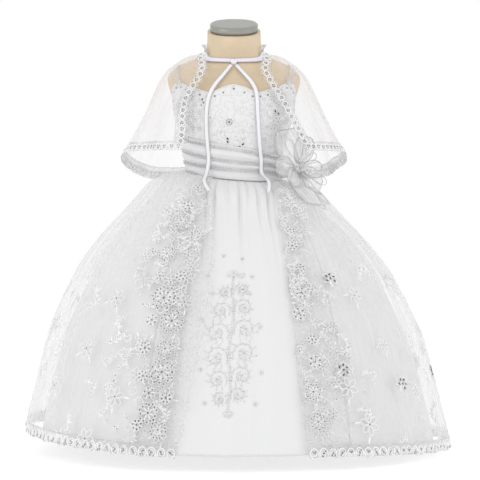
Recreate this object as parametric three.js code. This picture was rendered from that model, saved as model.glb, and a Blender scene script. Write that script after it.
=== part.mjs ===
// A small child's ball gown in satin and organza with a sheer cape, worn by a limbless dress form.
// Millimetres, +Z up, the front towards -Y. The origin is on the floor under the middle of the stand.
import * as THREE from "three";

const { clamp, degToRad, lerp, smoothstep } = THREE.MathUtils;

// Driving dimensions
const seamGap = 0.3; // between pieces that are sewn together
const clothThickness = 1.2; // satin and organza walls
const laceThickness = 1.4;
const ribbonThickness = 1.0;
const bodyRoundness = 2.3; // exponent of the form's oval sections
const hemShift = 8; // the hem's middle stands this far to the wearer's left
const hemHalfWidth = 405;
const hemHalfDepth = 385;
const satinHemRise = 9; // satin ends this much above the organza at the sides
const frontHemRise = 3; // and this much at the front
const liningInset = 22; // satin lies this far inside the organza at the sides
const frontInset = 6; // and this far at the front
const bodiceLift = 1.6; // inner face of the bodice off the form
const sashLift = 4.1; // inner face of the sash off the form
const overlayLift = 6.4; // outer face of the organza off the form at the waist
const satinLift = 4.2; // outer face of the satin there
const baseRadius = 150;
const baseThickness = 8;
const poleRadius = 11;
const torsoBottom = 410;
const neckTop = 791;
const neckSlope = 0.34; // the neck's cut rises towards the back
const neckCapHeight = 15;
const formSides = 28;

// The form's sections: half sizes and how far each is set back
const formSections = [
  { height: 410, halfWidth: 96, halfDepth: 80, back: 4 },
  { height: 448, halfWidth: 100, halfDepth: 84, back: 4 },
  { height: 488, halfWidth: 92, halfDepth: 77, back: 3 },
  { height: 516, halfWidth: 87, halfDepth: 72, back: 2 },
  { height: 548, halfWidth: 89, halfDepth: 74, back: 1 },
  { height: 586, halfWidth: 97, halfDepth: 79, back: 0 },
  { height: 628, halfWidth: 108, halfDepth: 85, back: 0 },
  { height: 664, halfWidth: 117, halfDepth: 83.4, back: 1 },
  { height: 686, halfWidth: 124, halfDepth: 77, back: 4 },
  { height: 702, halfWidth: 126, halfDepth: 70, back: 7 },
  { height: 715, halfWidth: 118, halfDepth: 60, back: 10 },
  { height: 727, halfWidth: 101, halfDepth: 52, back: 12 },
  { height: 737, halfWidth: 79, halfDepth: 48, back: 13 },
  { height: 745, halfWidth: 60, halfDepth: 47, back: 12 },
  { height: 756, halfWidth: 53, halfDepth: 47, back: 10 },
  { height: 774, halfWidth: 51, halfDepth: 47, back: 8 },
  { height: 791, halfWidth: 50.5, halfDepth: 47, back: 8 },
];

// Heights of the rings that the form is drawn with
const formRings = [
  410, 448, 488, 516, 548, 586, 620, 648, 668, 686, 702, 715, 727, 737, 745, 756, 774, 791,
];

// The skirt's side line, from the waist (0) to the hem (1)
const skirtProfile = [
  { along: 0, fall: 0, reach: 0 },
  { along: 0.05, fall: 0.01, reach: 0.096 },
  { along: 0.11, fall: 0.044, reach: 0.21 },
  { along: 0.16, fall: 0.089, reach: 0.28 },
  { along: 0.23, fall: 0.15, reach: 0.369 },
  { along: 0.3, fall: 0.21, reach: 0.462 },
  { along: 0.36, fall: 0.269, reach: 0.545 },
  { along: 0.45, fall: 0.36, reach: 0.653 },
  { along: 0.535, fall: 0.451, reach: 0.729 },
  { along: 0.64, fall: 0.57, reach: 0.822 },
  { along: 0.745, fall: 0.691, reach: 0.885 },
  { along: 0.845, fall: 0.812, reach: 0.933 },
  { along: 0.92, fall: 0.903, reach: 0.971 },
  { along: 1, fall: 1, reach: 1 },
];

// Height of the organza's edge above the floor round the hem; its lace ends 6 lower
const hemRows = [
  { angle: -180, height: 32 },
  { angle: -135, height: 39 },
  { angle: -90, height: 41 },
  { angle: -55, height: 34 },
  { angle: -15, height: 24 },
  { angle: 25, height: 23 },
  { angle: 60, height: 13 },
  { angle: 90, height: 9 },
  { angle: 135, height: 18 },
  { angle: 180, height: 32 },
];

// Where the organza's two front edges stand, in degrees from the front
const overlayEdges = [
  { along: 0, left: -22, right: 36 },
  { along: 0.15, left: -13, right: 24 },
  { along: 0.35, left: -8.6, right: 18.5 },
  { along: 0.6, left: -9.2, right: 16.4 },
  { along: 0.8, left: -12, right: 16.6 },
  { along: 1, left: -15.3, right: 17.6 },
];

// Where the satin front panel's two seams stand, in degrees from the front
const satinSeams = [
  { along: 0, left: -44, right: 56 },
  { along: 0.2, left: -30, right: 38 },
  { along: 0.5, left: -24, right: 31 },
  { along: 1, left: -26, right: 29 },
];

// The bodice's top edge on either side of the front
const necklineRows = [
  { angle: 0, height: 684 },
  { angle: 7.5, height: 676 },
  { angle: 15, height: 669 },
  { angle: 27, height: 672 },
  { angle: 40, height: 682 },
  { angle: 52, height: 689 },
  { angle: 62, height: 682 },
  { angle: 75, height: 652 },
  { angle: 90, height: 630 },
  { angle: 112, height: 638 },
  { angle: 140, height: 660 },
  { angle: 180, height: 664 },
];

// Heights of the three beaded bands on the sash
const bandRows = [
  { angle: -180, top: 569, middle: 547, bottom: 528 },
  { angle: -135, top: 581, middle: 557, bottom: 536 },
  { angle: -90, top: 590, middle: 564, bottom: 542 },
  { angle: -45, top: 576, middle: 552, bottom: 534 },
  { angle: 0, top: 562, middle: 539, bottom: 524 },
  { angle: 40, top: 550, middle: 534, bottom: 520 },
  { angle: 70, top: 546, middle: 531, bottom: 518 },
  { angle: 110, top: 550, middle: 533, bottom: 519 },
  { angle: 180, top: 569, middle: 547, bottom: 528 },
];

// How far the sash puffs out between its bands, from top edge to seam
const sashFolds = [
  { across: 0, puff: 0.2 },
  { across: 0.13, puff: 0.2 },
  { across: 0.265, puff: 3.2 },
  { across: 0.4, puff: 0.2 },
  { across: 0.54, puff: 0.2 },
  { across: 0.625, puff: 2.6 },
  { across: 0.71, puff: 0.2 },
  { across: 0.85, puff: 0.2 },
  { across: 0.92, puff: 1.2 },
  { across: 1, puff: 0 },
];

// The cape's rings from the neck (0) to its hem (1); left and right are where its two front edges
// stand, in degrees from the front
const capeSections = [
  { along: 0, height: 747, halfWidth: 62, halfDepth: 53, back: 11, left: -45, right: 45 },
  { along: 0.12, height: 742, halfWidth: 89, halfDepth: 66, back: 11, left: -36, right: 36 },
  { along: 0.22, height: 727, halfWidth: 114, halfDepth: 79, back: 9, left: -26, right: 26 },
  { along: 0.3, height: 712, halfWidth: 131, halfDepth: 88, back: 8, left: -21, right: 20.5 },
  { along: 0.4, height: 691, halfWidth: 145, halfDepth: 97, back: 8, left: -23, right: 22 },
  { along: 0.55, height: 659, halfWidth: 161, halfDepth: 107, back: 9, left: -29, right: 28 },
  { along: 0.7, height: 626, halfWidth: 178, halfDepth: 117, back: 10, left: -29, right: 32 },
  { along: 0.85, height: 593, halfWidth: 197, halfDepth: 128, back: 11, left: -26.5, right: 35 },
  { along: 1, height: 560, halfWidth: 216, halfDepth: 138, back: 12, left: -25, right: 37 },
];
const capeBackDrop = 46; // the cape is longer at the back
const capeColumns = 36;
const capeRows = 7;
const capeEdgeLace = 13; // width of the lace down its front edges
const capeLaceTop = 0.13; // where that lace starts
const neckRibbonWidth = 9;
const strapWidth = 12;
const bandWidth = 6.8; // of each beaded band on the sash
const placketTop = 658;
const placketBottom = 578;
const frillRise = 11;

// Height of the neck ribbon's middle round the neck
const neckRibbonRows = [
  { angle: 0, height: 730 },
  { angle: 30, height: 733 },
  { angle: 60, height: 744 },
  { angle: 90, height: 750 },
  { angle: 135, height: 754 },
  { angle: 180, height: 757 },
];

// The ribbon's two tails down the front, chosen by hand: clear is how far they stand off the form
const leftTail = [
  { x: -5, z: 722.6, clear: 7 },
  { x: -20, z: 702, clear: 8 },
  { x: -37, z: 680, clear: 9 },
  { x: -47, z: 658, clear: 9 },
  { x: -51, z: 630, clear: 9 },
  { x: -51, z: 598, clear: 10 },
  { x: -49, z: 570, clear: 12 },
  { x: -47, z: 542, clear: 12.4 },
  { x: -44, z: 518, clear: 15 },
  { x: -39, z: 502, clear: 26 },
  { x: -34, z: 484, clear: 44 },
];
const rightTail = [
  { x: 4, z: 722.6, clear: 7 },
  { x: 18, z: 706, clear: 8 },
  { x: 34, z: 686, clear: 9 },
  { x: 42, z: 666, clear: 9 },
  { x: 44, z: 634, clear: 9 },
  { x: 46, z: 600, clear: 11 },
  { x: 48, z: 570, clear: 13 },
  { x: 51, z: 542, clear: 13 },
  { x: 52, z: 519, clear: 15 },
  { x: 51, z: 502, clear: 27 },
  { x: 49, z: 482, clear: 47 },
];
const tailWidth = 8;

// The hip flower: its heart, and the way that it faces
const flowerHeart = new THREE.Vector3(116, -76, 526);
const flowerFacing = new THREE.Vector3(0.6, -0.78, 0.16).normalize();
const heartRadius = 8;
const stalkLength = 53.6; // from the flower's heart back to the sash

const colours = {
  satin: [0xf4f4f2, 0.45],
  organza: [0xf8f8f8, 0.7],
  lace: [0xf6f6f4, 0.8],
  ribbon: [0xf1effb, 0.35],
  beads: [0xc9cacc, 0.3],
  linen: [0xe3cfae, 0.85],
  steel: [0xa3a39c, 0.35],
  stand: [0xb4b4b2, 0.4],
};

const gown = new THREE.Group();

function add(name, colour, geometry) {
  const [color, roughness] = colours[colour];
  const metalness = colour === "steel" || colour === "stand" ? 0.9 : 0;
  const material = new THREE.MeshStandardMaterial({ color, roughness, metalness });
  const mesh = new THREE.Mesh(geometry, material);
  mesh.name = name;
  gown.add(mesh);
}

// A smooth value from a short table whose rows are sorted by the named key
function lookup(rows, key, at, column) {
  const last = rows.length - 1;
  const t = clamp(at, rows[0][key], rows[last][key]);
  let i = 0;
  while (i < last - 1 && rows[i + 1][key] < t) i += 1;
  const row = (k) => rows[clamp(k, 0, last)];
  const slope = (k) => {
    const [before, after] = [row(k - 1), row(k + 1)];
    return (after[column] - before[column]) / (after[key] - before[key]);
  };
  const span = row(i + 1)[key] - row(i)[key];
  const s = (t - row(i)[key]) / span;
  const [s2, s3] = [s * s, s * s * s];
  return (
    (2 * s3 - 3 * s2 + 1) * row(i)[column] +
    (s3 - 2 * s2 + s) * span * slope(i) +
    (3 * s2 - 2 * s3) * row(i + 1)[column] +
    (s3 - s2) * span * slope(i + 1)
  );
}

// A straight-line value from the same kind of table
function between(rows, key, at, column) {
  const last = rows.length - 1;
  let i = 0;
  while (i < last - 1 && rows[i + 1][key] < at) i += 1;
  const share = clamp((at - rows[i][key]) / (rows[i + 1][key] - rows[i][key]), 0, 1);
  return lerp(rows[i][column], rows[i + 1][column], share);
}

function power(value, exponent) {
  return Math.sign(value) * Math.abs(value) ** exponent;
}

// A point of an oval ring; angle 0 is the front and 90 is +X
function ovalPoint(angle, halfWidth, halfDepth, back, height, roundness = bodyRoundness) {
  const turn = degToRad(angle);
  const x = halfWidth * power(Math.sin(turn), 2 / roundness);
  const y = back - halfDepth * power(Math.cos(turn), 2 / roundness);
  return new THREE.Vector3(x, y, height);
}

// An angle between -180 and 180
function turned(angle) {
  return ((((angle + 180) % 360) + 360) % 360) - 180;
}

function ribbonHeight(angle) {
  return lookup(neckRibbonRows, "angle", Math.abs(turned(angle)), "height");
}

function formSize(height, column) {
  return lookup(formSections, "height", height, column);
}

function bodyPoint(angle, height, lift = 0) {
  const halfWidth = formSize(height, "halfWidth") + lift;
  const halfDepth = formSize(height, "halfDepth") + lift;
  return ovalPoint(angle, halfWidth, halfDepth, formSize(height, "back"), height);
}

// The outward normal of a surface place(u, v), where v runs down and u runs to the right
function normalOf(place, u, v) {
  const step = 1e-3;
  const along = place(u, v + step).sub(place(u, v - step));
  const across = place(u + step, v).sub(place(u - step, v));
  return along.cross(across).normalize();
}

// One closed body from an outer and an inner grid of points, each a list of rows
function wallGeometry(outer, inner, ring = false) {
  const rows = outer.length;
  const columns = outer[0].length;
  const spans = ring ? columns : columns - 1;
  const count = rows * columns;
  const positions = [...outer.flat(), ...inner.flat()].flatMap((p) => [p.x, p.y, p.z]);
  const out = (j, i) => j * columns + (i % columns);
  const inn = (j, i) => count + j * columns + (i % columns);
  const index = [];
  const quad = (a, b, c, d) => index.push(a, b, c, a, c, d);
  for (let j = 0; j < rows - 1; j += 1) {
    for (let i = 0; i < spans; i += 1) {
      quad(out(j, i), out(j + 1, i), out(j + 1, i + 1), out(j, i + 1));
      quad(inn(j, i), inn(j, i + 1), inn(j + 1, i + 1), inn(j + 1, i));
    }
  }
  for (let i = 0; i < spans; i += 1) {
    quad(out(0, i), out(0, i + 1), inn(0, i + 1), inn(0, i));
    quad(out(rows - 1, i + 1), out(rows - 1, i), inn(rows - 1, i), inn(rows - 1, i + 1));
  }
  for (let j = 0; j < rows - 1 && !ring; j += 1) {
    quad(out(j, 0), inn(j, 0), inn(j + 1, 0), out(j + 1, 0));
    const end = columns - 1;
    quad(out(j, end), out(j + 1, end), inn(j + 1, end), inn(j, end));
  }
  const geometry = new THREE.BufferGeometry();
  geometry.setAttribute("position", new THREE.Float32BufferAttribute(positions, 3));
  geometry.setIndex(index);
  return geometry;
}

// The grid of points of place(u, v), and the same grid moved inwards by the wall's thickness
function wallGrids(place, columns, rows, thickness, spacing = (v) => v, ring = false) {
  const outer = [];
  const inner = [];
  const count = ring ? columns : columns + 1;
  for (let j = 0; j <= rows; j += 1) {
    const v = spacing(j / rows);
    const us = Array.from({ length: count }, (_, i) => i / columns);
    outer.push(us.map((u) => place(u, v)));
    inner.push(us.map((u) => place(u, v).addScaledVector(normalOf(place, u, v), -thickness)));
  }
  return { outer, inner };
}

function wall(place, columns, rows, thickness, spacing, ring) {
  const { outer, inner } = wallGrids(place, columns, rows, thickness, spacing, ring);
  return wallGeometry(outer, inner, ring);
}

// A body from closed rings of points, bottom first, with flat ends
function stackedBody(rings) {
  const count = rings[0].length;
  const positions = rings.flat().flatMap((p) => [p.x, p.y, p.z]);
  const index = [];
  for (let j = 0; j < rings.length - 1; j += 1) {
    for (let i = 0; i < count; i += 1) {
      const [a, b] = [j * count + i, j * count + ((i + 1) % count)];
      index.push(a, b, b + count, a, b + count, a + count);
    }
  }
  const last = (rings.length - 1) * count;
  for (let i = 1; i < count - 1; i += 1) {
    index.push(0, i + 1, i, last, last + i, last + i + 1);
  }
  const geometry = new THREE.BufferGeometry();
  geometry.setAttribute("position", new THREE.Float32BufferAttribute(positions, 3));
  geometry.setIndex(index);
  return geometry;
}

function ringOf(count, point) {
  return Array.from({ length: count }, (_, i) => point((360 * i) / count));
}

// Moves a height on the neck so that the neck's top is cut at a slope
function slopedNeck(point) {
  const share = smoothstep(point.z, 753, neckTop);
  point.z += share * neckSlope * (point.y - 8);
  return point;
}

function dressForm() {
  const rings = formRings.map((height) => ringOf(formSides, (angle) => slopedNeck(bodyPoint(angle, height))));
  add("form_torso", "linen", stackedBody(rings));

  const capLevels = [
    { rise: 0.3, size: -5 },
    { rise: neckCapHeight - 2, size: -5 },
    { rise: neckCapHeight, size: -8 },
  ];
  const capRings = capLevels.map(({ rise, size }) =>
    ringOf(formSides, (angle) => {
      const point = slopedNeck(bodyPoint(angle, neckTop, size));
      point.z += rise;
      return point;
    }),
  );
  add("form_neck_cap", "steel", stackedBody(capRings));

  const poleBottom = baseThickness + seamGap;
  const pole = new THREE.CylinderGeometry(poleRadius, poleRadius, torsoBottom - seamGap - poleBottom, 14);
  pole.rotateX(Math.PI / 2);
  pole.translate(0, 0, (torsoBottom - seamGap + poleBottom) / 2);
  add("form_pole", "stand", pole);

  const rim = [
    [0, 0],
    [baseRadius - 1, 0],
    [baseRadius, 1],
    [baseRadius, baseThickness - 2],
    [baseRadius - 3, baseThickness],
    [0, baseThickness],
  ].map(([radius, height]) => new THREE.Vector2(radius, height));
  const base = new THREE.LatheGeometry(rim, 36);
  base.rotateX(Math.PI / 2);
  add("form_base", "stand", base);
}

// The line where bodice and skirt meet: higher on the wearer's right side
function waistSeam(angle) {
  const turn = degToRad(angle);
  return 513.5 - 2.5 * Math.cos(turn) - 9.5 * Math.sin(turn) - 4 * Math.cos(2 * turn);
}

function neckline(angle) {
  return lookup(necklineRows, "angle", Math.abs(angle), "height");
}

function bodicePanel(from, to, columns, rows) {
  const place = (u, v) => {
    const angle = lerp(from, to, u);
    const lift = bodiceLift + clothThickness + 1.6 * (1 - smoothstep(v, 0.15, 0.5));
    return bodyPoint(angle, lerp(neckline(angle), waistSeam(angle) - 1.2, v), lift);
  };
  return wall(place, columns, rows, clothThickness);
}

function bodice() {
  const sideSeam = 0.12;
  add("bodice_front", "lace", bodicePanel(-90 + sideSeam, 90 - sideSeam, formSides / 2, 6));
  add("bodice_back_right", "lace", bodicePanel(-180 + sideSeam, -90 - sideSeam, formSides / 4, 5));
  add("bodice_back_left", "lace", bodicePanel(90 + sideSeam, 180 - sideSeam, formSides / 4, 5));

  // The lapped closing down the middle of the back
  const halfWidth = 4;
  const lift = bodiceLift + clothThickness + 1.9 + laceThickness;
  const place = (u, v) => {
    const angle = 180 + lerp(-halfWidth, halfWidth, u);
    return bodyPoint(angle, lerp(placketTop, placketBottom, v), lift);
  };
  add("back_placket", "satin", wall(place, 2, 5, laceThickness));
}

// A flat strip of the given width along a path, lying on a surface with the given normals
function stripWall(path, width, thickness, ring = false) {
  const count = path.length;
  const outer = [[], []];
  const inner = [[], []];
  path.forEach(({ point, normal }, i) => {
    const next = path[ring ? (i + 1) % count : Math.min(i + 1, count - 1)].point;
    const before = path[ring ? (i + count - 1) % count : Math.max(i - 1, 0)].point;
    const side = normal.clone().cross(next.clone().sub(before)).normalize();
    [1, -1].forEach((sign, k) => {
      const edge = point.clone().addScaledVector(side, (sign * width) / 2);
      outer[k].push(edge);
      inner[k].push(edge.clone().addScaledVector(normal, -thickness));
    });
  });
  return wallGeometry(outer, inner, ring);
}

function bodyNormal(angle, height) {
  return normalOf((u, v) => bodyPoint(angle + u, height - v), 0, 0);
}

// A shoulder strap, from the bodice's front edge over the shoulder to its back edge
function strap(side) {
  const route = [
    { share: 0, angle: 50, height: 682, lift: 6.1 },
    { share: 0.14, angle: 53, height: 694, lift: 5.3 },
    { share: 0.28, angle: 58, height: 706, lift: 2.6 },
    { share: 0.42, angle: 72, height: 719, lift: 2.4 },
    { share: 0.52, angle: 92, height: 724, lift: 2.4 },
    { share: 0.62, angle: 110, height: 719, lift: 2.4 },
    { share: 0.76, angle: 124, height: 704, lift: 2.2 },
    { share: 0.88, angle: 132, height: 682, lift: 4.2 },
    { share: 1, angle: 138, height: 654, lift: 6.2 },
  ];
  const steps = 14;
  const path = Array.from({ length: steps + 1 }, (_, i) => {
    const share = side > 0 ? i / steps : 1 - i / steps;
    const angle = side * lookup(route, "share", share, "angle");
    const height = lookup(route, "share", share, "height");
    const normal = bodyNormal(angle, height);
    const lift = lookup(route, "share", share, "lift");
    return { point: bodyPoint(angle, height).addScaledVector(normal, lift), normal };
  });
  return stripWall(path, strapWidth, ribbonThickness);
}

function bandHeight(angle, name) {
  return lookup(bandRows, "angle", angle, name);
}

// The sash from its top edge (0) to the waist seam (1)
function sashPoint(angle, across, extra = 0) {
  const heights = [
    { across: 0, height: bandHeight(angle, "top") + 6 },
    { across: 0.065, height: bandHeight(angle, "top") },
    { across: 0.47, height: bandHeight(angle, "middle") },
    { across: 0.78, height: bandHeight(angle, "bottom") },
    { across: 1, height: waistSeam(angle) - 1.2 },
  ];
  const height = between(heights, "across", across, "height");
  const puff = between(sashFolds, "across", across, "puff");
  return bodyPoint(angle, height, sashLift + clothThickness + puff + extra);
}

function sash() {
  const columns = formSides;
  const end = 179.85;
  const rows = sashFolds.length - 1;
  const place = (u, v) => sashPoint(lerp(-end, end, u), v);
  const levels = (share) => sashFolds[Math.round(share * rows)].across;
  const outer = [];
  const inner = [];
  for (let j = 0; j <= rows; j += 1) {
    const us = Array.from({ length: columns + 1 }, (_, i) => i / columns);
    outer.push(us.map((u) => place(u, levels(j / rows))));
    inner.push(us.map((u) => sashPoint(lerp(-end, end, u), levels(j / rows), -clothThickness)));
  }
  add("waist_sash", "satin", wallGeometry(outer, inner));

  ["top", "middle", "bottom"].forEach((name) => {
    const lift = sashLift + clothThickness + 0.2 + 0.6 + laceThickness;
    const bandPlace = (u, v) => {
      const angle = lerp(-end + 1, end - 1, u);
      return bodyPoint(angle, bandHeight(angle, name) + lerp(bandWidth, -bandWidth, v) / 2, lift);
    };
    add("beaded_band_" + name, "beads", wall(bandPlace, columns, 1, laceThickness));
  });
}

// A point of a skirt layer before it is folded, at an angle and a distance down from the waist
function skirtPoint(angle, along, layer) {
  const seam = waistSeam(angle) - layer.drop;
  const fall = lookup(skirtProfile, "along", along, "fall");
  const reach = lookup(skirtProfile, "along", along, "reach");
  const waist = bodyPoint(angle, seam, layer.lift);
  const hem = ovalPoint(angle, hemHalfWidth, hemHalfDepth, 0, layer.hem(angle), 2);
  hem.x += hemShift;
  const sink = layer.sink * Math.sin(Math.PI * clamp(along / 0.3, 0, 1));
  const point = waist.lerp(hem, reach);
  point.z = lerp(seam, layer.hem(angle), fall) - sink;
  const inset = layer.inset(angle, along);
  const length = Math.hypot(point.x, point.y);
  point.x *= 1 - inset / length;
  point.y *= 1 - inset / length;
  return point;
}

// How much room there is between organza and satin at an angle
function layerRoom(angle) {
  const away = Math.abs(angle - 2);
  return lerp(frontInset, liningInset, smoothstep(away, 22, 62));
}

// The organza hangs higher on the wearer's right side
function overlayHem(angle) {
  return lookup(hemRows, "angle", turned(angle), "height");
}

const overlayLayer = {
  lift: overlayLift,
  drop: 0,
  sink: 0,
  hem: overlayHem,
  inset: () => 0,
};

const satinLayer = {
  lift: satinLift,
  drop: 2.2,
  sink: 5,
  hem: (angle) => overlayHem(angle) + lerp(frontHemRise, satinHemRise, smoothstep(Math.abs(angle), 18, 40)),
  inset: (angle, along) => layerRoom(angle) * smoothstep(along, 0, 0.18),
};

// Soft uneven folds: the depth at a share u of the way round, for a number of folds
function softFolds(u, count, phase) {
  const warped = u + 0.018 * Math.sin(2 * Math.PI * (3 * u + phase));
  const wave = 0.5 - 0.5 * Math.cos(2 * Math.PI * (count * warped + phase));
  return wave * (0.62 + 0.38 * Math.sin(2 * Math.PI * (1.7 * u + 2.3 * phase)));
}

function pushedIn(point, depth) {
  const length = Math.hypot(point.x, point.y);
  return point.set(point.x * (1 - depth / length), point.y * (1 - depth / length), point.z);
}

function overlayEdge(along, side) {
  return lookup(overlayEdges, "along", along, side);
}

// The organza over one side, from edge to back seam, with u running to the right
const overlayColumns = 36;
const skirtRows = 8;
function overlayPlace(side) {
  return (u, v) => {
    const edge = overlayEdge(v, side);
    const seam = side === "left" ? -179.95 : 179.95;
    const angle = side === "left" ? lerp(seam, edge, u) : lerp(edge, seam, u);
    const point = skirtPoint(angle, v, overlayLayer);
    const fromEdge = side === "left" ? 1 - u : u;
    const depth = lerp(1.5, 11, smoothstep(fromEdge, 0.02, 0.3)) * smoothstep(v, 0.12, 0.8);
    const gathers = 1.3 * (1 - smoothstep(v, 0, 0.24)) * Math.cos(Math.PI * overlayColumns * u);
    return pushedIn(point, depth * softFolds(fromEdge, 8, 0.15) - gathers - 1.3);
  };
}

// Steps that are closer together near the waist
function skirtSpacing(share) {
  return share ** 1.25;
}

// The same grid as a surface: a point on its facets, lifted off along the normal
function facetSurface(place, columns, rows, spacing) {
  const levels = Array.from({ length: rows + 1 }, (_, j) => spacing(j / rows));
  const corner = (i, j) => place(i / columns, levels[j]);
  return (u, v, lift) => {
    const i = clamp(Math.floor(u * columns), 0, columns - 1);
    let j = 0;
    while (j < rows - 1 && levels[j + 1] < v) j += 1;
    const s = u * columns - i;
    const t = (v - levels[j]) / (levels[j + 1] - levels[j]);
    const top = corner(i, j).lerp(corner(i + 1, j), s);
    const low = corner(i, j + 1).lerp(corner(i + 1, j + 1), s);
    const side = corner(i + 1, j).sub(corner(i, j));
    const normal = low.clone().sub(top).cross(side).normalize();
    return top.lerp(low, t).addScaledVector(normal, lift);
  };
}

const overlayFacets = {
  left: facetSurface(overlayPlace("left"), overlayColumns, skirtRows, skirtSpacing),
  right: facetSurface(overlayPlace("right"), overlayColumns, skirtRows, skirtSpacing),
};

// A strip on a faceted panel: lines gives the [u, v] pairs across it at each step along it
function stripOn(facets, steps, lines, lift, thickness) {
  const across = Array.from({ length: steps + 1 }, (_, i) => lines(i));
  const grid = (height) => across[0].map((_, k) => across.map((row) => facets(...row[k], height)));
  return wallGeometry(grid(lift + thickness), grid(lift));
}

// The distance down a panel at step i, with a few even steps to each of the panel's own rows
function rowStep(i, perRow, rows, spacing) {
  const row = Math.min(Math.floor(i / perRow), rows - 1);
  return lerp(spacing(row / rows), spacing((row + 1) / rows), i / perRow - row);
}

// The height of a scalloped edge at step i, three steps to a scallop, from 0 in a valley to 1 on top
function scallop(i) {
  return i % 3 === 0 ? 0 : 1;
}

function organza() {
  const stepsPerColumn = 3;
  const stepsPerRow = 4;
  const laceTop = 0.968;
  const laceBottom = 1.0035;
  const scallopDepth = 0.009;
  ["left", "right"].forEach((side) => {
    const wearer = side === "left" ? "right" : "left";
    const place = overlayPlace(side);
    const panel = wall(place, overlayColumns, skirtRows, clothThickness, skirtSpacing);
    add("organza_skirt_" + wearer, "organza", panel);

    // Scalloped lace round the hem, two steps to each small scallop
    const facets = overlayFacets[side];
    const hemSteps = overlayColumns * stepsPerColumn;
    const hemLines = (i) => [
      [i / hemSteps, laceTop],
      [i / hemSteps, laceBottom + scallopDepth * (i % 2)],
    ];
    add("hem_lace_" + wearer, "lace", stripOn(facets, hemSteps, hemLines, 0.7, laceThickness));

    // Wide lace border up the front edge, with large scallops towards the satin panel
    const borderSteps = skirtRows * stepsPerRow;
    const borderLines = (i) => {
      const down = rowStep(i, stepsPerRow, skirtRows, skirtSpacing);
      const v = clamp(down, 0.01, laceTop - 0.004);
      const radius = skirtPoint(overlayEdge(v, side), v, overlayLayer).setZ(0).length();
      const arc = degToRad(180 - Math.abs(overlayEdge(v, side))) * radius;
      const front = (3 - 5 * scallop(i)) / arc;
      const inner = [3, 2, 1].map((column) => column / overlayColumns);
      const shares = side === "left" ? [front, ...inner.reverse()] : [...inner, front];
      return shares.map((share) => [side === "left" ? 1 - share : share, v]);
    };
    add("front_lace_" + wearer, "lace", stripOn(facets, borderSteps, borderLines, 0.7, laceThickness));
  });
}

function satinSeam(along, side) {
  return lookup(satinSeams, "along", along, side);
}

// Half the gap of a sewn seam, as an angle at that distance down the skirt
function seamAngle(along) {
  const radius = lerp(90, hemHalfDepth, lookup(skirtProfile, "along", along, "reach"));
  return THREE.MathUtils.radToDeg(seamGap / 2 / radius);
}

// Folds die out towards a panel's two seams, so that neighbours meet there
function seamFade(u) {
  return smoothstep(u, 0, 0.12) * (1 - smoothstep(u, 0.88, 1));
}

// The satin: a gathered front panel, and a side panel each way round to the back seam
function satinSkirt() {
  const gatherCount = 11;
  const frontPlace = (u, v) => {
    const from = satinSeam(v, "left") + seamAngle(v);
    const to = satinSeam(v, "right") - seamAngle(v);
    const point = skirtPoint(lerp(from, to, u), v, satinLayer);
    const gather = 0.5 - 0.5 * Math.cos(2 * Math.PI * gatherCount * u);
    const fade = smoothstep(v, 0, 0.03) * (1 - smoothstep(v, 0.1, 0.5));
    const broad = softFolds(u, 4, 0.3) * smoothstep(v, 0.2, 0.9) * seamFade(u);
    return pushedIn(point, 2.4 * gather * fade + 9 * broad);
  };
  const frontPanel = wall(frontPlace, gatherCount * 4, skirtRows, clothThickness, skirtSpacing);
  add("satin_front_panel", "satin", frontPanel);

  ["left", "right"].forEach((side) => {
    const wearer = side === "left" ? "right" : "left";
    const place = (u, v) => {
      const seam = satinSeam(v, side);
      const back = side === "left" ? -179.95 : 179.95;
      const angle = side === "left" ? lerp(back, seam - seamAngle(v), u) : lerp(seam + seamAngle(v), back, u);
      const fromSeam = side === "left" ? 1 - u : u;
      const depth = 12 * softFolds(fromSeam, 5, 0.4) * smoothstep(v, 0.15, 0.9) * seamFade(u);
      return pushedIn(skirtPoint(angle, v, satinLayer), depth);
    };
    add("satin_side_" + wearer, "satin", wall(place, 18, skirtRows, clothThickness, skirtSpacing));
  });
}

// The cape, u from its front edge on +X round the back to its front edge on -X
function capePlace(u, v) {
  const size = (column) => lookup(capeSections, "along", v, column);
  const angle = lerp(size("right"), 360 + size("left"), u);
  const drop = capeBackDrop * smoothstep(Math.abs(turned(angle)), 70, 140) * v * v;
  const point = ovalPoint(angle, size("halfWidth"), size("halfDepth"), size("back"), size("height") - drop);
  const neck = bodyPoint(angle, ribbonHeight(angle) - neckRibbonWidth / 2 - 1.4, 2.9);
  point.lerp(neck, 1 - smoothstep(v, 0, capeSections[1].along));
  const folds = 9 * softFolds(u, 9, 0.25) * smoothstep(v, 0.25, 1);
  const gathers = 1.6 * (1 - smoothstep(v, 0.04, 0.2)) * Math.cos(Math.PI * capeColumns * u);
  return pushedIn(point, folds - gathers * smoothstep(v, 0, 0.04));
}

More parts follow.
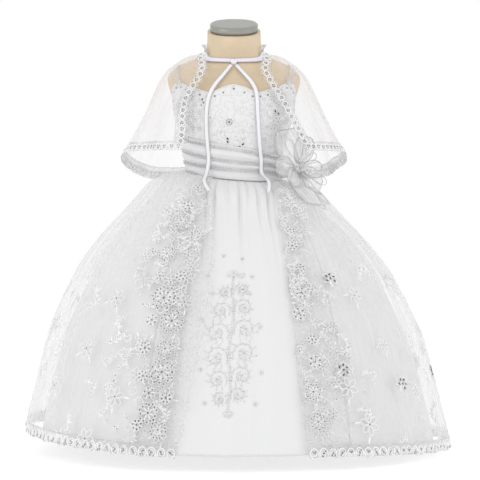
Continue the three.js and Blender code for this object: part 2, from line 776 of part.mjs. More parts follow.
function cape() {
  add("cape_tulle", "organza", wall(capePlace, capeColumns, capeRows, clothThickness));
  const even = (v) => v;
  const facets = facetSurface(capePlace, capeColumns, capeRows, even);
  const laceDepth = 0.07; // share of the cape's length
  const stepsPerColumn = 3;
  const stepsPerRow = 3;
  const hemSteps = capeColumns * stepsPerColumn;
  const hemLines = (i) => [
    [i / hemSteps, 1 - laceDepth],
    [i / hemSteps, 1.004 + 0.018 * scallop(i)],
  ];
  add("cape_hem_lace", "lace", stripOn(facets, hemSteps, hemLines, 0.6, laceThickness));

  const edgeLine = (i) => {
    const down = rowStep(i, stepsPerRow, capeRows, even);
    const v = clamp(down, capeLaceTop, 1 - laceDepth - 0.006);
    const size = (column) => lookup(capeSections, "along", v, column);
    const halfTurn = size("halfWidth") + size("halfDepth");
    const width = Math.min(1 / capeColumns, capeEdgeLace / (2.4 * halfTurn));
    return [width, -0.001 - 0.006 * scallop(i), v];
  };
  const leftLines = (i) => {
    const [width, front, v] = edgeLine(i);
    return [
      [width, v],
      [front, v],
    ];
  };
  const rightLines = (i) => {
    const [width, front, v] = edgeLine(i);
    return [
      [1 - front, v],
      [1 - width, v],
    ];
  };
  const edgeSteps = capeRows * stepsPerRow;
  add("cape_edge_lace_left", "lace", stripOn(facets, edgeSteps, leftLines, 1.8, laceThickness));
  add("cape_edge_lace_right", "lace", stripOn(facets, edgeSteps, rightLines, 1.8, laceThickness));
}

// The ribbon round the neck, the frill above it and the knot in front
function neckRibbon() {
  const path = ringOf(formSides, (angle) => {
    const height = ribbonHeight(angle);
    const normal = bodyNormal(angle, height);
    return { point: bodyPoint(angle, height).addScaledVector(normal, 3), normal };
  });
  add("neck_ribbon", "ribbon", stripWall(path, neckRibbonWidth, ribbonThickness, true));

  // The frill that stands up above the ribbon
  const frillSteps = 40;
  const start = 40;
  const outer = [[], []];
  const inner = [[], []];
  for (let i = 0; i <= frillSteps; i += 1) {
    const angle = lerp(start, 360 - start, i / frillSteps);
    const height = ribbonHeight(angle) + neckRibbonWidth / 2 + 1.4;
    const normal = bodyNormal(angle, height).setZ(0).normalize();
    const foot = bodyPoint(angle, height, 1.2 + laceThickness);
    const end = smoothstep(Math.min(i, frillSteps - i), 0, 5);
    const tip = foot.clone().addScaledVector(normal, lerp(2, 7, end) + 2 * (i % 2));
    tip.z += frillRise * lerp(0.35, 1, end);
    outer[0].push(tip);
    outer[1].push(foot);
    inner[0].push(tip.clone().addScaledVector(normal, -laceThickness));
    inner[1].push(foot.clone().addScaledVector(normal, -laceThickness));
  }
  add("neck_frill", "lace", wallGeometry(outer, inner));

  const knot = new THREE.SphereGeometry(1, 10, 6);
  knot.scale(6.5, 4.2, 5.5);
  const front = bodyPoint(0, ribbonHeight(0));
  knot.translate(front.x, front.y - 9, front.z - 2);
  add("ribbon_knot", "ribbon", knot);
}

// A point in front of the form, standing off it by clear
function frontPoint({ x, z, clear }) {
  const halfWidth = formSize(z, "halfWidth");
  const halfDepth = formSize(z, "halfDepth");
  const across = Math.abs(x / halfWidth) ** bodyRoundness;
  const y = formSize(z, "back") - halfDepth * (1 - across) ** (1 / bodyRoundness) - clear;
  return new THREE.Vector3(x, y, z);
}

function ribbonTails() {
  const tails = { left: leftTail, right: rightTail };
  Object.entries(tails).forEach(([side, route]) => {
    const knots = route.map((row) => clearOfSkirt(frontPoint(row), 7));
    const curve = new THREE.CatmullRomCurve3(knots);
    const points = curve.getSpacedPoints(18);
    const path = points.map((point, i) => {
      const tangent = points[Math.min(i + 1, 18)].clone().sub(points[Math.max(i - 1, 0)]).normalize();
      const across = new THREE.Vector3(1, 0, 0).addScaledVector(tangent, -tangent.x).normalize();
      return { point, normal: tangent.clone().cross(across).normalize() };
    });
    add("ribbon_tail_" + side, "ribbon", stripWall(path, tailWidth, ribbonThickness));
  });
}

// Pushes a point out until it clears the organza by the margin
function clearOfSkirt(point, margin) {
  const angle = THREE.MathUtils.radToDeg(Math.atan2(point.x, -point.y * (hemHalfWidth / hemHalfDepth)));
  const place = (u, v) => skirtPoint(angle + 10 * u, v, overlayLayer);
  const skin = (along) => place(0, along).addScaledVector(normalOf(place, 0, along), margin);
  let [low, high] = [0.002, 1];
  for (let i = 0; i < 24; i += 1) {
    const middle = (low + high) / 2;
    if (skin(middle).z > point.z) low = middle;
    else high = middle;
  }
  const cleared = skin(low);
  if (point.z > cleared.z + 1) return point;
  const short = Math.hypot(cleared.x, cleared.y) - Math.hypot(point.x, point.y);
  return short > 0 ? pushedIn(point, -short) : point;
}

// The flower's own axes: out of its face, up and across
const flowerUp = new THREE.Vector3(0, 0, 1)
  .addScaledVector(flowerFacing, -flowerFacing.z)
  .normalize();
const flowerAcross = flowerUp.clone().cross(flowerFacing).normalize();

function flowerPoint(outward, turn, height) {
  return flowerHeart
    .clone()
    .addScaledVector(flowerUp, outward * Math.cos(degToRad(turn)))
    .addScaledVector(flowerAcross, outward * Math.sin(degToRad(turn)))
    .addScaledVector(flowerFacing, height);
}

// One petal: turn is its place on the clock, rise how steeply it stands out of the flower's face
function petal({ turn, rise, length, width, cup, root, foot }) {
  const direction = degToRad(turn);
  const along = flowerUp.clone().multiplyScalar(Math.cos(direction));
  along.addScaledVector(flowerAcross, Math.sin(direction));
  const across = along.clone().cross(flowerFacing);
  const place = (u, v) => {
    const reach = foot + length * v * Math.cos(degToRad(rise));
    const half = (width / 2) * (0.12 + 0.88 * Math.sin(Math.PI * (0.04 + 0.78 * Math.max(v, 0) ** 0.8)));
    const droop = 7 * v * v;
    const curl = cup * (2 * u - 1) ** 2 * Math.sin(Math.PI * v);
    const height = root + length * v * Math.sin(degToRad(rise)) - droop + curl;
    const point = flowerHeart.clone().addScaledVector(along, reach);
    point.addScaledVector(across, (2 * u - 1) * half).addScaledVector(flowerFacing, height);
    return clearOfSkirt(point, 4 + 0.5 * root);
  };
  return wall(place, 4, 5, clothThickness);
}

// The flower's petals and sequinned leaves
const petalRows = [
  { name: "back_petal_1", turn: -12, rise: 4, length: 68, width: 76, cup: 2, root: 0, foot: 8.3 },
  { name: "back_petal_2", turn: 122, rise: 4, length: 58, width: 48, cup: 2, root: 0, foot: 8.3 },
  { name: "back_petal_3", turn: 186, rise: 12, length: 62, width: 50, cup: 1, root: 3.4, foot: 8.3 },
  { name: "back_petal_4", turn: 274, rise: 12, length: 46, width: 40, cup: 1, root: 3.4, foot: 8.3 },
  { name: "front_petal_1", turn: 14, rise: 22, length: 56, width: 46, cup: 3, root: 6.2, foot: 8.4 },
  { name: "front_petal_2", turn: 96, rise: 28, length: 42, width: 34, cup: 3, root: 6.2, foot: 8.4 },
  { name: "front_petal_3", turn: 228, rise: 30, length: 42, width: 36, cup: 3, root: 6.2, foot: 8.4 },
  { name: "sequin_leaf_1", turn: 8, rise: 58, length: 32, width: 13, cup: 2, root: 14, foot: 8.8 },
  { name: "sequin_leaf_2", turn: 130, rise: 58, length: 24, width: 12, cup: 2, root: 14, foot: 8.8 },
  { name: "sequin_leaf_3", turn: 262, rise: 58, length: 26, width: 12, cup: 2, root: 14, foot: 8.8 },
];

function hipFlower() {
  petalRows.forEach((row) => {
    const colour = row.name.startsWith("sequin") ? "beads" : "organza";
    add("flower_" + row.name, colour, petal(row));
  });

  const heart = new THREE.SphereGeometry(heartRadius, 10, 6);
  const centre = flowerPoint(0, 0, 16);
  heart.translate(centre.x, centre.y, centre.z);
  add("flower_heart", "beads", heart);

  // The padded stalk that holds the flower off the sash
  const stalk = new THREE.CylinderGeometry(7.6, 8.4, stalkLength, 12);
  stalk.translate(0, -stalkLength / 2, 0);
  const turn = new THREE.Quaternion().setFromUnitVectors(new THREE.Vector3(0, 1, 0), flowerFacing);
  stalk.applyQuaternion(turn);
  const top = flowerPoint(0, 0, 7.4);
  stalk.translate(top.x, top.y, top.z);
  add("flower_stalk", "organza", stalk);

  // Narrow streamers that lie on the skirt
  const streamers = [
    { u0: 0.21, v0: 0.16, u1: 0.335, v1: 0.33, bend: 0.05 },
    { u0: 0.17, v0: 0.18, u1: 0.185, v1: 0.4, bend: -0.02 },
  ];
  streamers.forEach(({ u0, v0, u1, v1, bend }, number) => {
    const facets = overlayFacets.right;
    const steps = 14;
    const lines = (i) => {
      const share = i / steps;
      const u = lerp(u0, u1, share) + bend * Math.sin(Math.PI * share);
      const v = lerp(v0, v1, share);
      return [
        [u + 0.004, v],
        [u - 0.004, v],
      ];
    };
    add("flower_streamer_" + (number + 1), "ribbon", stripOn(facets, steps, lines, 0.8, ribbonThickness));
  });
}

dressForm();
bodice();
add("strap_left", "ribbon", strap(1));
add("strap_right", "ribbon", strap(-1));
sash();
satinSkirt();
organza();
cape();
neckRibbon();
ribbonTails();
hipFlower();

export default gown;
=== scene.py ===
"""A christening gown in satin and organza, with a sheer cape, on a limbless dress form.

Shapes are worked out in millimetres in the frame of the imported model: the origin is on the floor
under the middle of the stand, +Z is up and the front faces -Y. Angles run from the front (0)
towards +X (90), which is the wearer's left.
"""

import math
import random

import bmesh
import bpy
from bpy.props import FloatProperty, FloatVectorProperty, IntProperty, PointerProperty
from mathutils import Matrix, Vector
from mathutils.bvhtree import BVHTree


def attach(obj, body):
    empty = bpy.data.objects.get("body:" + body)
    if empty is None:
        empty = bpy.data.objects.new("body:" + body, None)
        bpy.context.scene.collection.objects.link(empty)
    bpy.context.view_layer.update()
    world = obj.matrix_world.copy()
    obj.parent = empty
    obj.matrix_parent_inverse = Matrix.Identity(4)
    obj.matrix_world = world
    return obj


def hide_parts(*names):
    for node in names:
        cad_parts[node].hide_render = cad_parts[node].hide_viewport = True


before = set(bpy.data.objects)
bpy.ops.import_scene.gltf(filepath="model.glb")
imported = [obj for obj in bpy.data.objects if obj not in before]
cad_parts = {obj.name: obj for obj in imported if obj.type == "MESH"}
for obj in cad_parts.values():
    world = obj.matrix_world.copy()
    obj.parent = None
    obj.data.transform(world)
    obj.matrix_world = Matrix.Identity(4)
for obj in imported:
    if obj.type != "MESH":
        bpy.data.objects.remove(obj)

bl_info = {
    "name": "Christening gown",
    "version": (1, 0, 0),
    "blender": (4, 5, 0),
    "location": "3D View > Sidebar > Gown",
    "description": "Builds a christening gown with its cape on a dress form",
    "category": "Add Mesh",
}

MILLIMETRE = 0.001
PHOTO_EYE = Vector((11.4, -3500, 394))
HEM_HALF_WIDTH = 405
HEM_HALF_DEPTH = 385
HEM_SHIFT = 8
SEAM_GAP = 0.3
TORSO_BOTTOM = 410
NECK_TOP = 791
NECK_FOOT = 753
NECK_SLOPE = 0.34
CLOSING_TOP = 658
CLOSING_BOTTOM = 578
CLOSING_WIDTH = 14
STRAP_WIDTH = 12
TAIL_WIDTH = 8
HALF_BODICE = 89.88
BEAD_FACE = 5.8
PHOTO_PIXEL = 1.9
PHOTO_AXIS = 234
PHOTO_FLOOR = 438
FLOOR_OFFSET = 18


def rows(names, *lines):
    """A short table: one dictionary a row."""
    return [dict(zip(names.split(), line)) for line in lines]


FORM = rows(
    "height half_width half_depth back",
    (410, 96, 80, 4),
    (448, 100, 84, 4),
    (488, 92, 77, 3),
    (516, 87, 72, 2),
    (548, 89, 74, 1),
    (586, 97, 79, 0),
    (628, 108, 85, 0),
    (664, 117, 83.4, 1),
    (686, 124, 77, 4),
    (702, 126, 70, 7),
    (715, 118, 60, 10),
    (727, 101, 52, 12),
    (737, 79, 48, 13),
    (745, 60, 47, 12),
    (756, 53, 47, 10),
    (774, 51, 47, 8),
    (791, 50.5, 47, 8),
)

SKIRT = rows(
    "along fall reach",
    (0, 0, 0),
    (0.05, 0.01, 0.096),
    (0.11, 0.044, 0.21),
    (0.16, 0.089, 0.28),
    (0.23, 0.15, 0.369),
    (0.3, 0.21, 0.462),
    (0.36, 0.269, 0.545),
    (0.45, 0.36, 0.653),
    (0.535, 0.451, 0.729),
    (0.64, 0.57, 0.822),
    (0.745, 0.691, 0.885),
    (0.845, 0.812, 0.933),
    (0.92, 0.903, 0.971),
    (1, 1, 1),
)

HEM_HEIGHTS = rows(
    "angle height",
    (-180, 32),
    (-135, 39),
    (-90, 41),
    (-55, 34),
    (-15, 24),
    (25, 23),
    (60, 13),
    (90, 9),
    (135, 18),
    (180, 32),
)

OVERLAY_EDGES = rows(
    "along left right",
    (0, -22, 36),
    (0.15, -13, 24),
    (0.35, -8.6, 18.5),
    (0.6, -9.2, 16.4),
    (0.8, -12, 16.6),
    (1, -15.3, 17.6),
)

SATIN_SEAMS = rows(
    "along left right",
    (0, -44, 56),
    (0.2, -30, 38),
    (0.5, -24, 31),
    (1, -26, 29),
)

NECKLINE = rows(
    "angle height",
    (0, 684),
    (7.5, 676),
    (15, 669),
    (27, 672),
    (40, 682),
    (52, 689),
    (62, 682),
    (75, 652),
    (90, 630),
    (112, 638),
    (140, 660),
    (180, 664),
)

BANDS = rows(
    "angle top middle bottom",
    (-180, 569, 547, 528),
    (-135, 581, 557, 536),
    (-90, 590, 564, 542),
    (-45, 576, 552, 534),
    (0, 562, 539, 524),
    (40, 550, 534, 520),
    (70, 546, 531, 518),
    (110, 550, 533, 519),
    (180, 569, 547, 528),
)

SASH_PUFF = rows(
    "across puff",
    (0, 0.4),
    (0.065, 0.3),
    (0.13, 0.3),
    (0.265, 3.4),
    (0.4, 0.3),
    (0.54, 0.3),
    (0.625, 2.8),
    (0.71, 0.3),
    (0.85, 0.3),
    (0.92, 1.3),
    (1, 0),
)

CAPE = rows(
    "along height half_width half_depth back left right",
    (0, 747, 62, 53, 11, -45, 45),
    (0.12, 742, 89, 66, 11, -36, 36),
    (0.22, 727, 114, 79, 9, -26, 26),
    (0.3, 712, 131, 88, 8, -21, 20.5),
    (0.4, 691, 145, 97, 8, -23, 22),
    (0.55, 659, 161, 107, 9, -29, 28),
    (0.7, 626, 178, 117, 10, -29, 32),
    (0.85, 593, 197, 128, 11, -26.5, 35),
    (1, 560, 216, 138, 12, -25, 37),
)

NECK_RIBBON = rows(
    "angle height",
    (0, 730),
    (30, 733),
    (60, 744),
    (90, 750),
    (135, 754),
    (180, 757),
)

LEFT_TAIL = rows(
    "x z clear",
    (-5, 722.6, 7),
    (-20, 702, 8),
    (-37, 680, 9),
    (-47, 658, 9),
    (-51, 630, 9),
    (-51, 598, 10),
    (-49, 570, 12),
    (-47, 542, 12.4),
    (-44, 518, 15),
    (-39, 502, 26),
    (-34, 484, 44),
)

RIGHT_TAIL = rows(
    "x z clear",
    (4, 722.6, 7),
    (18, 706, 8),
    (34, 686, 9),
    (42, 666, 9),
    (44, 634, 9),
    (46, 600, 11),
    (48, 570, 13),
    (51, 542, 13),
    (52, 519, 15),
    (51, 502, 27),
    (49, 482, 47),
)

PETALS = rows(
    "name turn rise length width cup root foot",
    ("back_petal_1", -12, 4, 68, 76, 2, 0, 8.3),
    ("back_petal_2", 122, 4, 58, 48, 2, 0, 8.3),
    ("back_petal_3", 186, 12, 62, 50, 1, 3.4, 8.3),
    ("back_petal_4", 274, 12, 46, 40, 1, 3.4, 8.3),
    ("front_petal_1", 14, 22, 56, 46, 3, 6.2, 8.4),
    ("front_petal_2", 96, 28, 42, 34, 3, 6.2, 8.4),
    ("front_petal_3", 228, 30, 42, 36, 3, 6.2, 8.4),
)

LEAVES = rows(
    "name turn rise length width",
    ("sequin_leaf_1", 8, 58, 32, 13),
    ("sequin_leaf_2", 130, 58, 24, 12),
    ("sequin_leaf_3", 262, 58, 26, 12),
)

WIRE_LOOPS = rows(
    "turn reach width rise",
    (58, 44, 20, 9),
    (84, 50, 24, 7),
    (112, 62, 26, 6),
    (146, 72, 30, 6),
    (172, 70, 34, 7),
    (204, 58, 30, 8),
    (332, 50, 30, 15),
    (30, 58, 34, 13),
)

STREAMERS = rows(
    "number u0 v0 u1 v1 bend length area",
    (1, 0.21, 0.16, 0.335, 0.33, 0.05, 0.11, 0.00048),
    (2, 0.17, 0.18, 0.185, 0.4, -0.02, 0.14, 0.0007),
)

FLOWER_HEART = Vector((116, -76, 526))
FLOWER_FACING = Vector((0.6, -0.78, 0.16)).normalized()


def clamp(value, low=0.0, high=1.0):
    return max(low, min(high, value))


def lerp(a, b, share):
    return a + (b - a) * share


def ease(value, low, high):
    """Rises smoothly from 0 at low to 1 at high."""
    share = clamp((value - low) / (high - low))
    return share * share * (3 - 2 * share)


def smooth(table, key, at, column):
    """A smooth value from a table whose rows are sorted by the named key."""
    last = len(table) - 1
    at = clamp(at, table[0][key], table[last][key])
    i = 0
    while i < last - 1 and table[i + 1][key] < at:
        i += 1

    def slope(k):
        before, after = table[max(k - 1, 0)], table[min(k + 1, last)]
        return (after[column] - before[column]) / (after[key] - before[key])

    span = table[i + 1][key] - table[i][key]
    s = (at - table[i][key]) / span
    s2, s3 = s * s, s * s * s
    return (
        (2 * s3 - 3 * s2 + 1) * table[i][column]
        + (s3 - 2 * s2 + s) * span * slope(i)
        + (3 * s2 - 2 * s3) * table[i + 1][column]
        + (s3 - s2) * span * slope(i + 1)
    )


def between(table, key, at, column):
    """A straight-line value from the same kind of table."""
    i = 0
    while i < len(table) - 2 and table[i + 1][key] < at:
        i += 1
    share = clamp((at - table[i][key]) / (table[i + 1][key] - table[i][key]))
    return lerp(table[i][column], table[i + 1][column], share)


def power(value, exponent):
    return math.copysign(abs(value) ** exponent, value)


def oval_point(angle, half_width, half_depth, back, height, roundness=2.3):
    turn = math.radians(angle)
    x = half_width * power(math.sin(turn), 2 / roundness)
    y = back - half_depth * power(math.cos(turn), 2 / roundness)
    return Vector((x, y, height))


def turned(angle):
    """The same angle between -180 and 180."""
    return (angle + 180) % 360 - 180


def form_size(height, column):
    return smooth(FORM, "height", height, column)


def body_point(angle, height, lift=0.0):
    half_width = form_size(height, "half_width") + lift
    half_depth = form_size(height, "half_depth") + lift
    return oval_point(angle, half_width, half_depth, form_size(height, "back"), height)


def normal_of(place, u, v):
    """The outward normal of place(u, v), where v runs down and u runs to the right."""
    step = 1e-3
    along = place(u, v + step) - place(u, v - step)
    across = place(u + step, v) - place(u - step, v)
    return along.cross(across).normalized()


def body_normal(angle, height):
    return normal_of(lambda u, v: body_point(angle + u, height - v), 0, 0)


def raised(place, lift):
    """The same surface moved out by a distance."""
    return lambda u, v: place(u, v) + normal_of(place, u, v) * lift


def pushed_in(point, depth):
    length = math.hypot(point.x, point.y)
    point.x *= 1 - depth / length
    point.y *= 1 - depth / length
    return point


def waist_seam(angle):
    turn = math.radians(angle)
    return 513.5 - 2.5 * math.cos(turn) - 9.5 * math.sin(turn) - 4 * math.cos(2 * turn)


def neckline(angle):
    return smooth(NECKLINE, "angle", abs(turned(angle)), "height")


def ribbon_height(angle):
    return smooth(NECK_RIBBON, "angle", abs(turned(angle)), "height")


def soft_folds(u, count, phase):
    """Soft uneven folds: a depth from 0 to 1 at a share u of the way round."""
    warped = u + 0.018 * math.sin(2 * math.pi * (3 * u + phase))
    wave = 0.5 - 0.5 * math.cos(2 * math.pi * (count * warped + phase))
    return wave * (0.62 + 0.38 * math.sin(2 * math.pi * (1.7 * u + 2.3 * phase)))


# Skirt layers


def overlay_hem(angle):
    return smooth(HEM_HEIGHTS, "angle", turned(angle), "height")


def layer_room(angle):
    return lerp(6, 22, ease(abs(angle - 2), 22, 62))


OVERLAY = {"lift": 6.4, "drop": 0, "sink": 0, "rise": 0, "front_rise": 0, "inside": 0}
SATIN = {"lift": 4.2, "drop": 2.2, "sink": 5, "rise": 9, "front_rise": 3, "inside": 1}


def skirt_point(angle, along, layer):
    seam = waist_seam(angle) - layer["drop"]
    hem_height = overlay_hem(angle) + lerp(layer["front_rise"], layer["rise"], ease(abs(angle), 18, 40))
    fall = smooth(SKIRT, "along", along, "fall")
    reach = smooth(SKIRT, "along", along, "reach")
    waist = body_point(angle, seam, layer["lift"])
    hem = oval_point(angle, HEM_HALF_WIDTH, HEM_HALF_DEPTH, 0, hem_height, 2)
    hem.x += HEM_SHIFT
    point = waist.lerp(hem, reach)
    point.z = lerp(seam, hem_height, fall)
    point.z -= layer["sink"] * math.sin(math.pi * clamp(along / 0.3))
    if layer["inside"]:
        aside = 13 * ease(abs(angle), 60, 85) * (1 - ease(abs(angle), 95, 120)) * ease(along, 0.2, 0.6)
        pushed_in(point, layer_room(angle) * ease(along, 0, 0.18) + aside)
    return point


def overlay_edge(along, side):
    return smooth(OVERLAY_EDGES, "along", along, side)


def overlay_place(side):
    """The organza over one side of the skirt, u running to the right and v down."""

    def place(u, v):
        edge = overlay_edge(v, side)
        angle = lerp(-179.95, edge, u) if side == "left" else lerp(edge, 179.95, u)
        from_edge = 1 - u if side == "left" else u
        point = skirt_point(angle, v, OVERLAY)
        away = ease(from_edge, 0.02, 0.3)
        depth = lerp(1.5, 11, away) * ease(v, 0.12, 0.8) * soft_folds(from_edge, 8, 0.15)
        crease = soft_folds(from_edge + 0.05 * v, 21, 0.37) * soft_folds(from_edge, 5, 0.7)
        depth += lerp(0.4, 4.5, away) * ease(v, 0.05, 0.5) * crease
        gathers = 1.3 * (1 - ease(v, 0, 0.24)) * math.cos(math.pi * 36 * u)
        return pushed_in(point, depth - gathers - 1.3)

    return place


def satin_seam(along, side):
    return smooth(SATIN_SEAMS, "along", along, side)


def seam_angle(along):
    radius = lerp(90, HEM_HALF_DEPTH, smooth(SKIRT, "along", along, "reach"))
    return math.degrees(SEAM_GAP / 2 / radius)


def seam_fade(u):
    return ease(u, 0, 0.12) * (1 - ease(u, 0.88, 1))


def satin_front_place(u, v):
    start = satin_seam(v, "left") + seam_angle(v)
    end = satin_seam(v, "right") - seam_angle(v)
    point = skirt_point(lerp(start, end, u), v, SATIN)
    warped = u + 0.012 * math.sin(9 * u) + 0.01 * math.sin(23 * u + 1)
    wave = 0.5 - 0.5 * math.cos(2 * math.pi * 12 * warped)
    reach = 0.34 + 0.22 * math.sin(2 * math.pi * 12 * 0.37 * u + 1.3)
    gather = 10 * wave**3 * ease(v, 0, 0.03) * (1 - ease(v, 0.05, reach))
    broad = 9 * soft_folds(u, 4, 0.3) * ease(v, 0.2, 0.9) * seam_fade(u)
    fine = 2.6 * soft_folds(u - 0.03 * v, 9, 0.55) * ease(v, 0.08, 0.3) * seam_fade(u)
    return pushed_in(point, gather + broad + fine)


def satin_side_place(side):
    def place(u, v):
        seam = satin_seam(v, side)
        if side == "left":
            angle = lerp(-179.95, seam - seam_angle(v), u)
        else:
            angle = lerp(seam + seam_angle(v), 179.95, u)
        from_seam = 1 - u if side == "left" else u
        fold = 12 * soft_folds(from_seam, 5, 0.4) * ease(v, 0.15, 0.9)
        fine = 4 * soft_folds(from_seam + 0.04 * v, 13, 0.2) * ease(v, 0.1, 0.5)
        return pushed_in(skirt_point(angle, v, SATIN), (fold + fine) * seam_fade(u))

    return place


def cape_place(u, v):
    """The cape, u from its front edge on +X round the back to its front edge on -X."""
    size = {name: smooth(CAPE, "along", v, name) for name in CAPE[0]}
    angle = lerp(size["right"], 360 + size["left"], u)
    drop = 46 * ease(abs(turned(angle)), 70, 140) * v * v
    point = oval_point(
        angle, size["half_width"], size["half_depth"], size["back"], size["height"] - drop
    )
    neck = body_point(angle, ribbon_height(angle) - 5.9, 2.9)
    point = point.lerp(neck, 1 - ease(v, 0, 0.12))
    folds = 9 * soft_folds(u, 9, 0.25) * ease(v, 0.25, 1)
    gathers = 1.6 * (1 - ease(v, 0.04, 0.2)) * math.cos(math.pi * 36 * u)
    return pushed_in(point, folds - gathers * ease(v, 0, 0.04))


def band_height(angle, name):
    return smooth(BANDS, "angle", angle, name)


def sash_point(angle, across, extra=0.0):
    heights = rows(
        "across height",
        (0, band_height(angle, "top") + 6),
        (0.065, band_height(angle, "top")),
        (0.47, band_height(angle, "middle")),
        (0.78, band_height(angle, "bottom")),
        (1, waist_seam(angle) - 1.2),
    )
    height = between(heights, "across", across, "height")
    puff = smooth(SASH_PUFF, "across", across, "puff")
    return body_point(angle, height, 5.3 + puff + extra)


def front_point(row):
    """A point in front of the form that stands off it by the row's clearance."""
    half_width = form_size(row["z"], "half_width")
    across = abs(row["x"] / half_width) ** 2.3
    depth = form_size(row["z"], "half_depth") * (1 - across) ** (1 / 2.3)
    return Vector((row["x"], form_size(row["z"], "back") - depth - row["clear"], row["z"]))


def clear_of_skirt(point, margin):
    """Pushes a point out until it clears the organza by the margin."""
    angle = math.degrees(math.atan2(point.x, -point.y * (HEM_HALF_WIDTH / HEM_HALF_DEPTH)))

    def place(u, v):
        return skirt_point(angle + 10 * u, v, OVERLAY)

    def skin(along):
        return place(0, along) + normal_of(place, 0, along) * margin

    low, high = 0.002, 1
    for _ in range(16):
        middle = (low + high) / 2
        if skin(middle).z > point.z:
            low = middle
        else:
            high = middle
    cleared = skin(low)
    if point.z > cleared.z + 1:
        return point
    short = math.hypot(cleared.x, cleared.y) - math.hypot(point.x, point.y)
    return pushed_in(point, -short) if short > 0 else point


# Materials


def node(tree, kind, inputs=None, **settings):
    """Adds a node. Inputs are values or sockets to link, by name or number."""
    made = tree.nodes.new(kind)
    for name, value in settings.items():
        setattr(made, name, value)
    for name, value in (inputs or {}).items():
        if isinstance(value, bpy.types.NodeSocket):
            tree.links.new(value, made.inputs[name])
        else:
            made.inputs[name].default_value = value
    return made


def material(name, colour, roughness, **values):
    """A plain material; values are more inputs of its shader, with _ for a space."""
    made = bpy.data.materials.new(name)
    made.use_nodes = True
    shader = made.node_tree.nodes["Principled BSDF"]
    shader.inputs["Base Color"].default_value = (*colour, 1)
    shader.inputs["Roughness"].default_value = roughness
    for key, value in values.items():
        shader.inputs[key.replace("_", " ")].default_value = value
    return made


def add_bump(made, height, strength, distance):
    """Leads a height into the normal of a plain material."""
    tree = made.node_tree
    bump = node(tree, "ShaderNodeBump", {"Height": height, "Strength": strength, "Distance": distance})
    tree.links.new(bump.outputs["Normal"], tree.nodes["Principled BSDF"].inputs["Normal"])


def object_coordinates(tree):
    return node(tree, "ShaderNodeTexCoord").outputs["Object"]


def cloth_coordinates(tree):
    """Where a point lies on its flat cloth: u across and v down."""
    return node(tree, "ShaderNodeUVMap", uv_map="cloth").outputs[0]


def darker(colour, share):
    return tuple(share * part for part in colour)


def tinted(made, low, high, scale, detail=3.0):
    """Lets the base colour wander between two colours over the object."""
    tree = made.node_tree
    spots = {"Vector": object_coordinates(tree), "Scale": scale, "Detail": detail}
    noise = node(tree, "ShaderNodeTexNoise", spots)
    ramp = node(tree, "ShaderNodeValToRGB", {"Fac": noise.outputs["Fac"]})
    ramp.color_ramp.elements[0].position = 0.35
    ramp.color_ramp.elements[1].position = 0.65
    ramp.color_ramp.elements[0].color = (*low, 1)
    ramp.color_ramp.elements[1].color = (*high, 1)
    tree.links.new(ramp.outputs["Color"], tree.nodes["Principled BSDF"].inputs["Base Color"])
    return noise


def curling_lines(tree, where, scale, repeats, width):
    """Thin curling stitch lines: the level lines of a noise, 1 on a line and 0 off it."""
    noise = node(tree, "ShaderNodeTexNoise", {"Vector": where, "Scale": scale, "Detail": 1.0})
    steps = {0: noise.outputs["Fac"], 1: repeats}
    steps = node(tree, "ShaderNodeMath", steps, operation="MULTIPLY")
    level = node(tree, "ShaderNodeMath", {0: steps.outputs[0], 1: 1.0}, operation="PINGPONG")
    edge = {0: level.outputs[0], 1: 0.0, 2: width, 3: 1.0, 4: 0.0}
    return node(tree, "ShaderNodeMapRange", edge, interpolation_type="SMOOTHSTEP").outputs[0]


def satin_material(name, colour, stitched=False, edge_shade_axis=None):
    """Smooth satin with its fine twill, or with raised curling stitches all over.

    Edge shade axis is the axis across a ribbon; painted shade darkens the colour towards both of its edges.
    """
    made = material(name, colour, 0.42, Sheen_Weight=0.25, Sheen_Roughness=0.4)
    made.node_tree.nodes["Principled BSDF"].inputs["Specular IOR Level"].default_value = 0.35
    tree = made.node_tree
    where = object_coordinates(tree)
    twill = {"Vector": where, "Scale": 260.0, "Distortion": 0.6}
    wave = node(tree, "ShaderNodeTexWave", twill, bands_direction="DIAGONAL")
    if stitched:
        line = curling_lines(tree, where, 80.0, 8.0, 0.3)
        shades = {0: line, 6: (*colour, 1), 7: (*darker(colour, 0.9), 1)}
        shade = node(tree, "ShaderNodeMix", shades, data_type="RGBA")
        tree.links.new(shade.outputs[2], tree.nodes["Principled BSDF"].inputs["Base Color"])
        add_bump(made, line, 0.5, 0.001)
    else:
        add_bump(made, wave.outputs["Fac"], 0.12, 0.0003)
    # Painted shade: a darker band along each edge of the ribbon, from its flat cloth coordinates.
    if edge_shade_axis:
        across = node(tree, "ShaderNodeSeparateXYZ", {0: cloth_coordinates(tree)})
        middle = node(tree, "ShaderNodeMath", {0: across.outputs[edge_shade_axis], 1: 0.5}, operation="SUBTRACT")
        away = node(tree, "ShaderNodeMath", {0: middle.outputs[0]}, operation="ABSOLUTE")
        rim = node(tree, "ShaderNodeMapRange", {0: away.outputs[0], 1: 0.3, 2: 0.46})
        shades = {0: rim.outputs[0], 6: (*colour, 1), 7: (*darker(colour, 0.55), 1)}
        shade = node(tree, "ShaderNodeMix", shades, data_type="RGBA")
        tree.links.new(shade.outputs[2], tree.nodes["Principled BSDF"].inputs["Base Color"])
    return made


def weave_material(name, colour):
    """Coarse linen with crossed threads."""
    made = material(name, colour, 0.85, Sheen_Weight=0.15)
    tree = made.node_tree
    where = object_coordinates(tree)
    across = node(tree, "ShaderNodeTexWave", {"Vector": where, "Scale": 420.0, "Distortion": 1.5})
    up = {"Vector": where, "Scale": 420.0, "Distortion": 1.5}
    down = node(tree, "ShaderNodeTexWave", up, bands_direction="Z")
    both = {0: across.outputs["Fac"], 1: down.outputs["Fac"]}
    crossed = node(tree, "ShaderNodeMath", both, operation="MULTIPLY")
    tinted(made, darker(colour, 0.9), colour, 24)
    add_bump(made, crossed.outputs["Value"], 0.35, 0.0006)
    return made


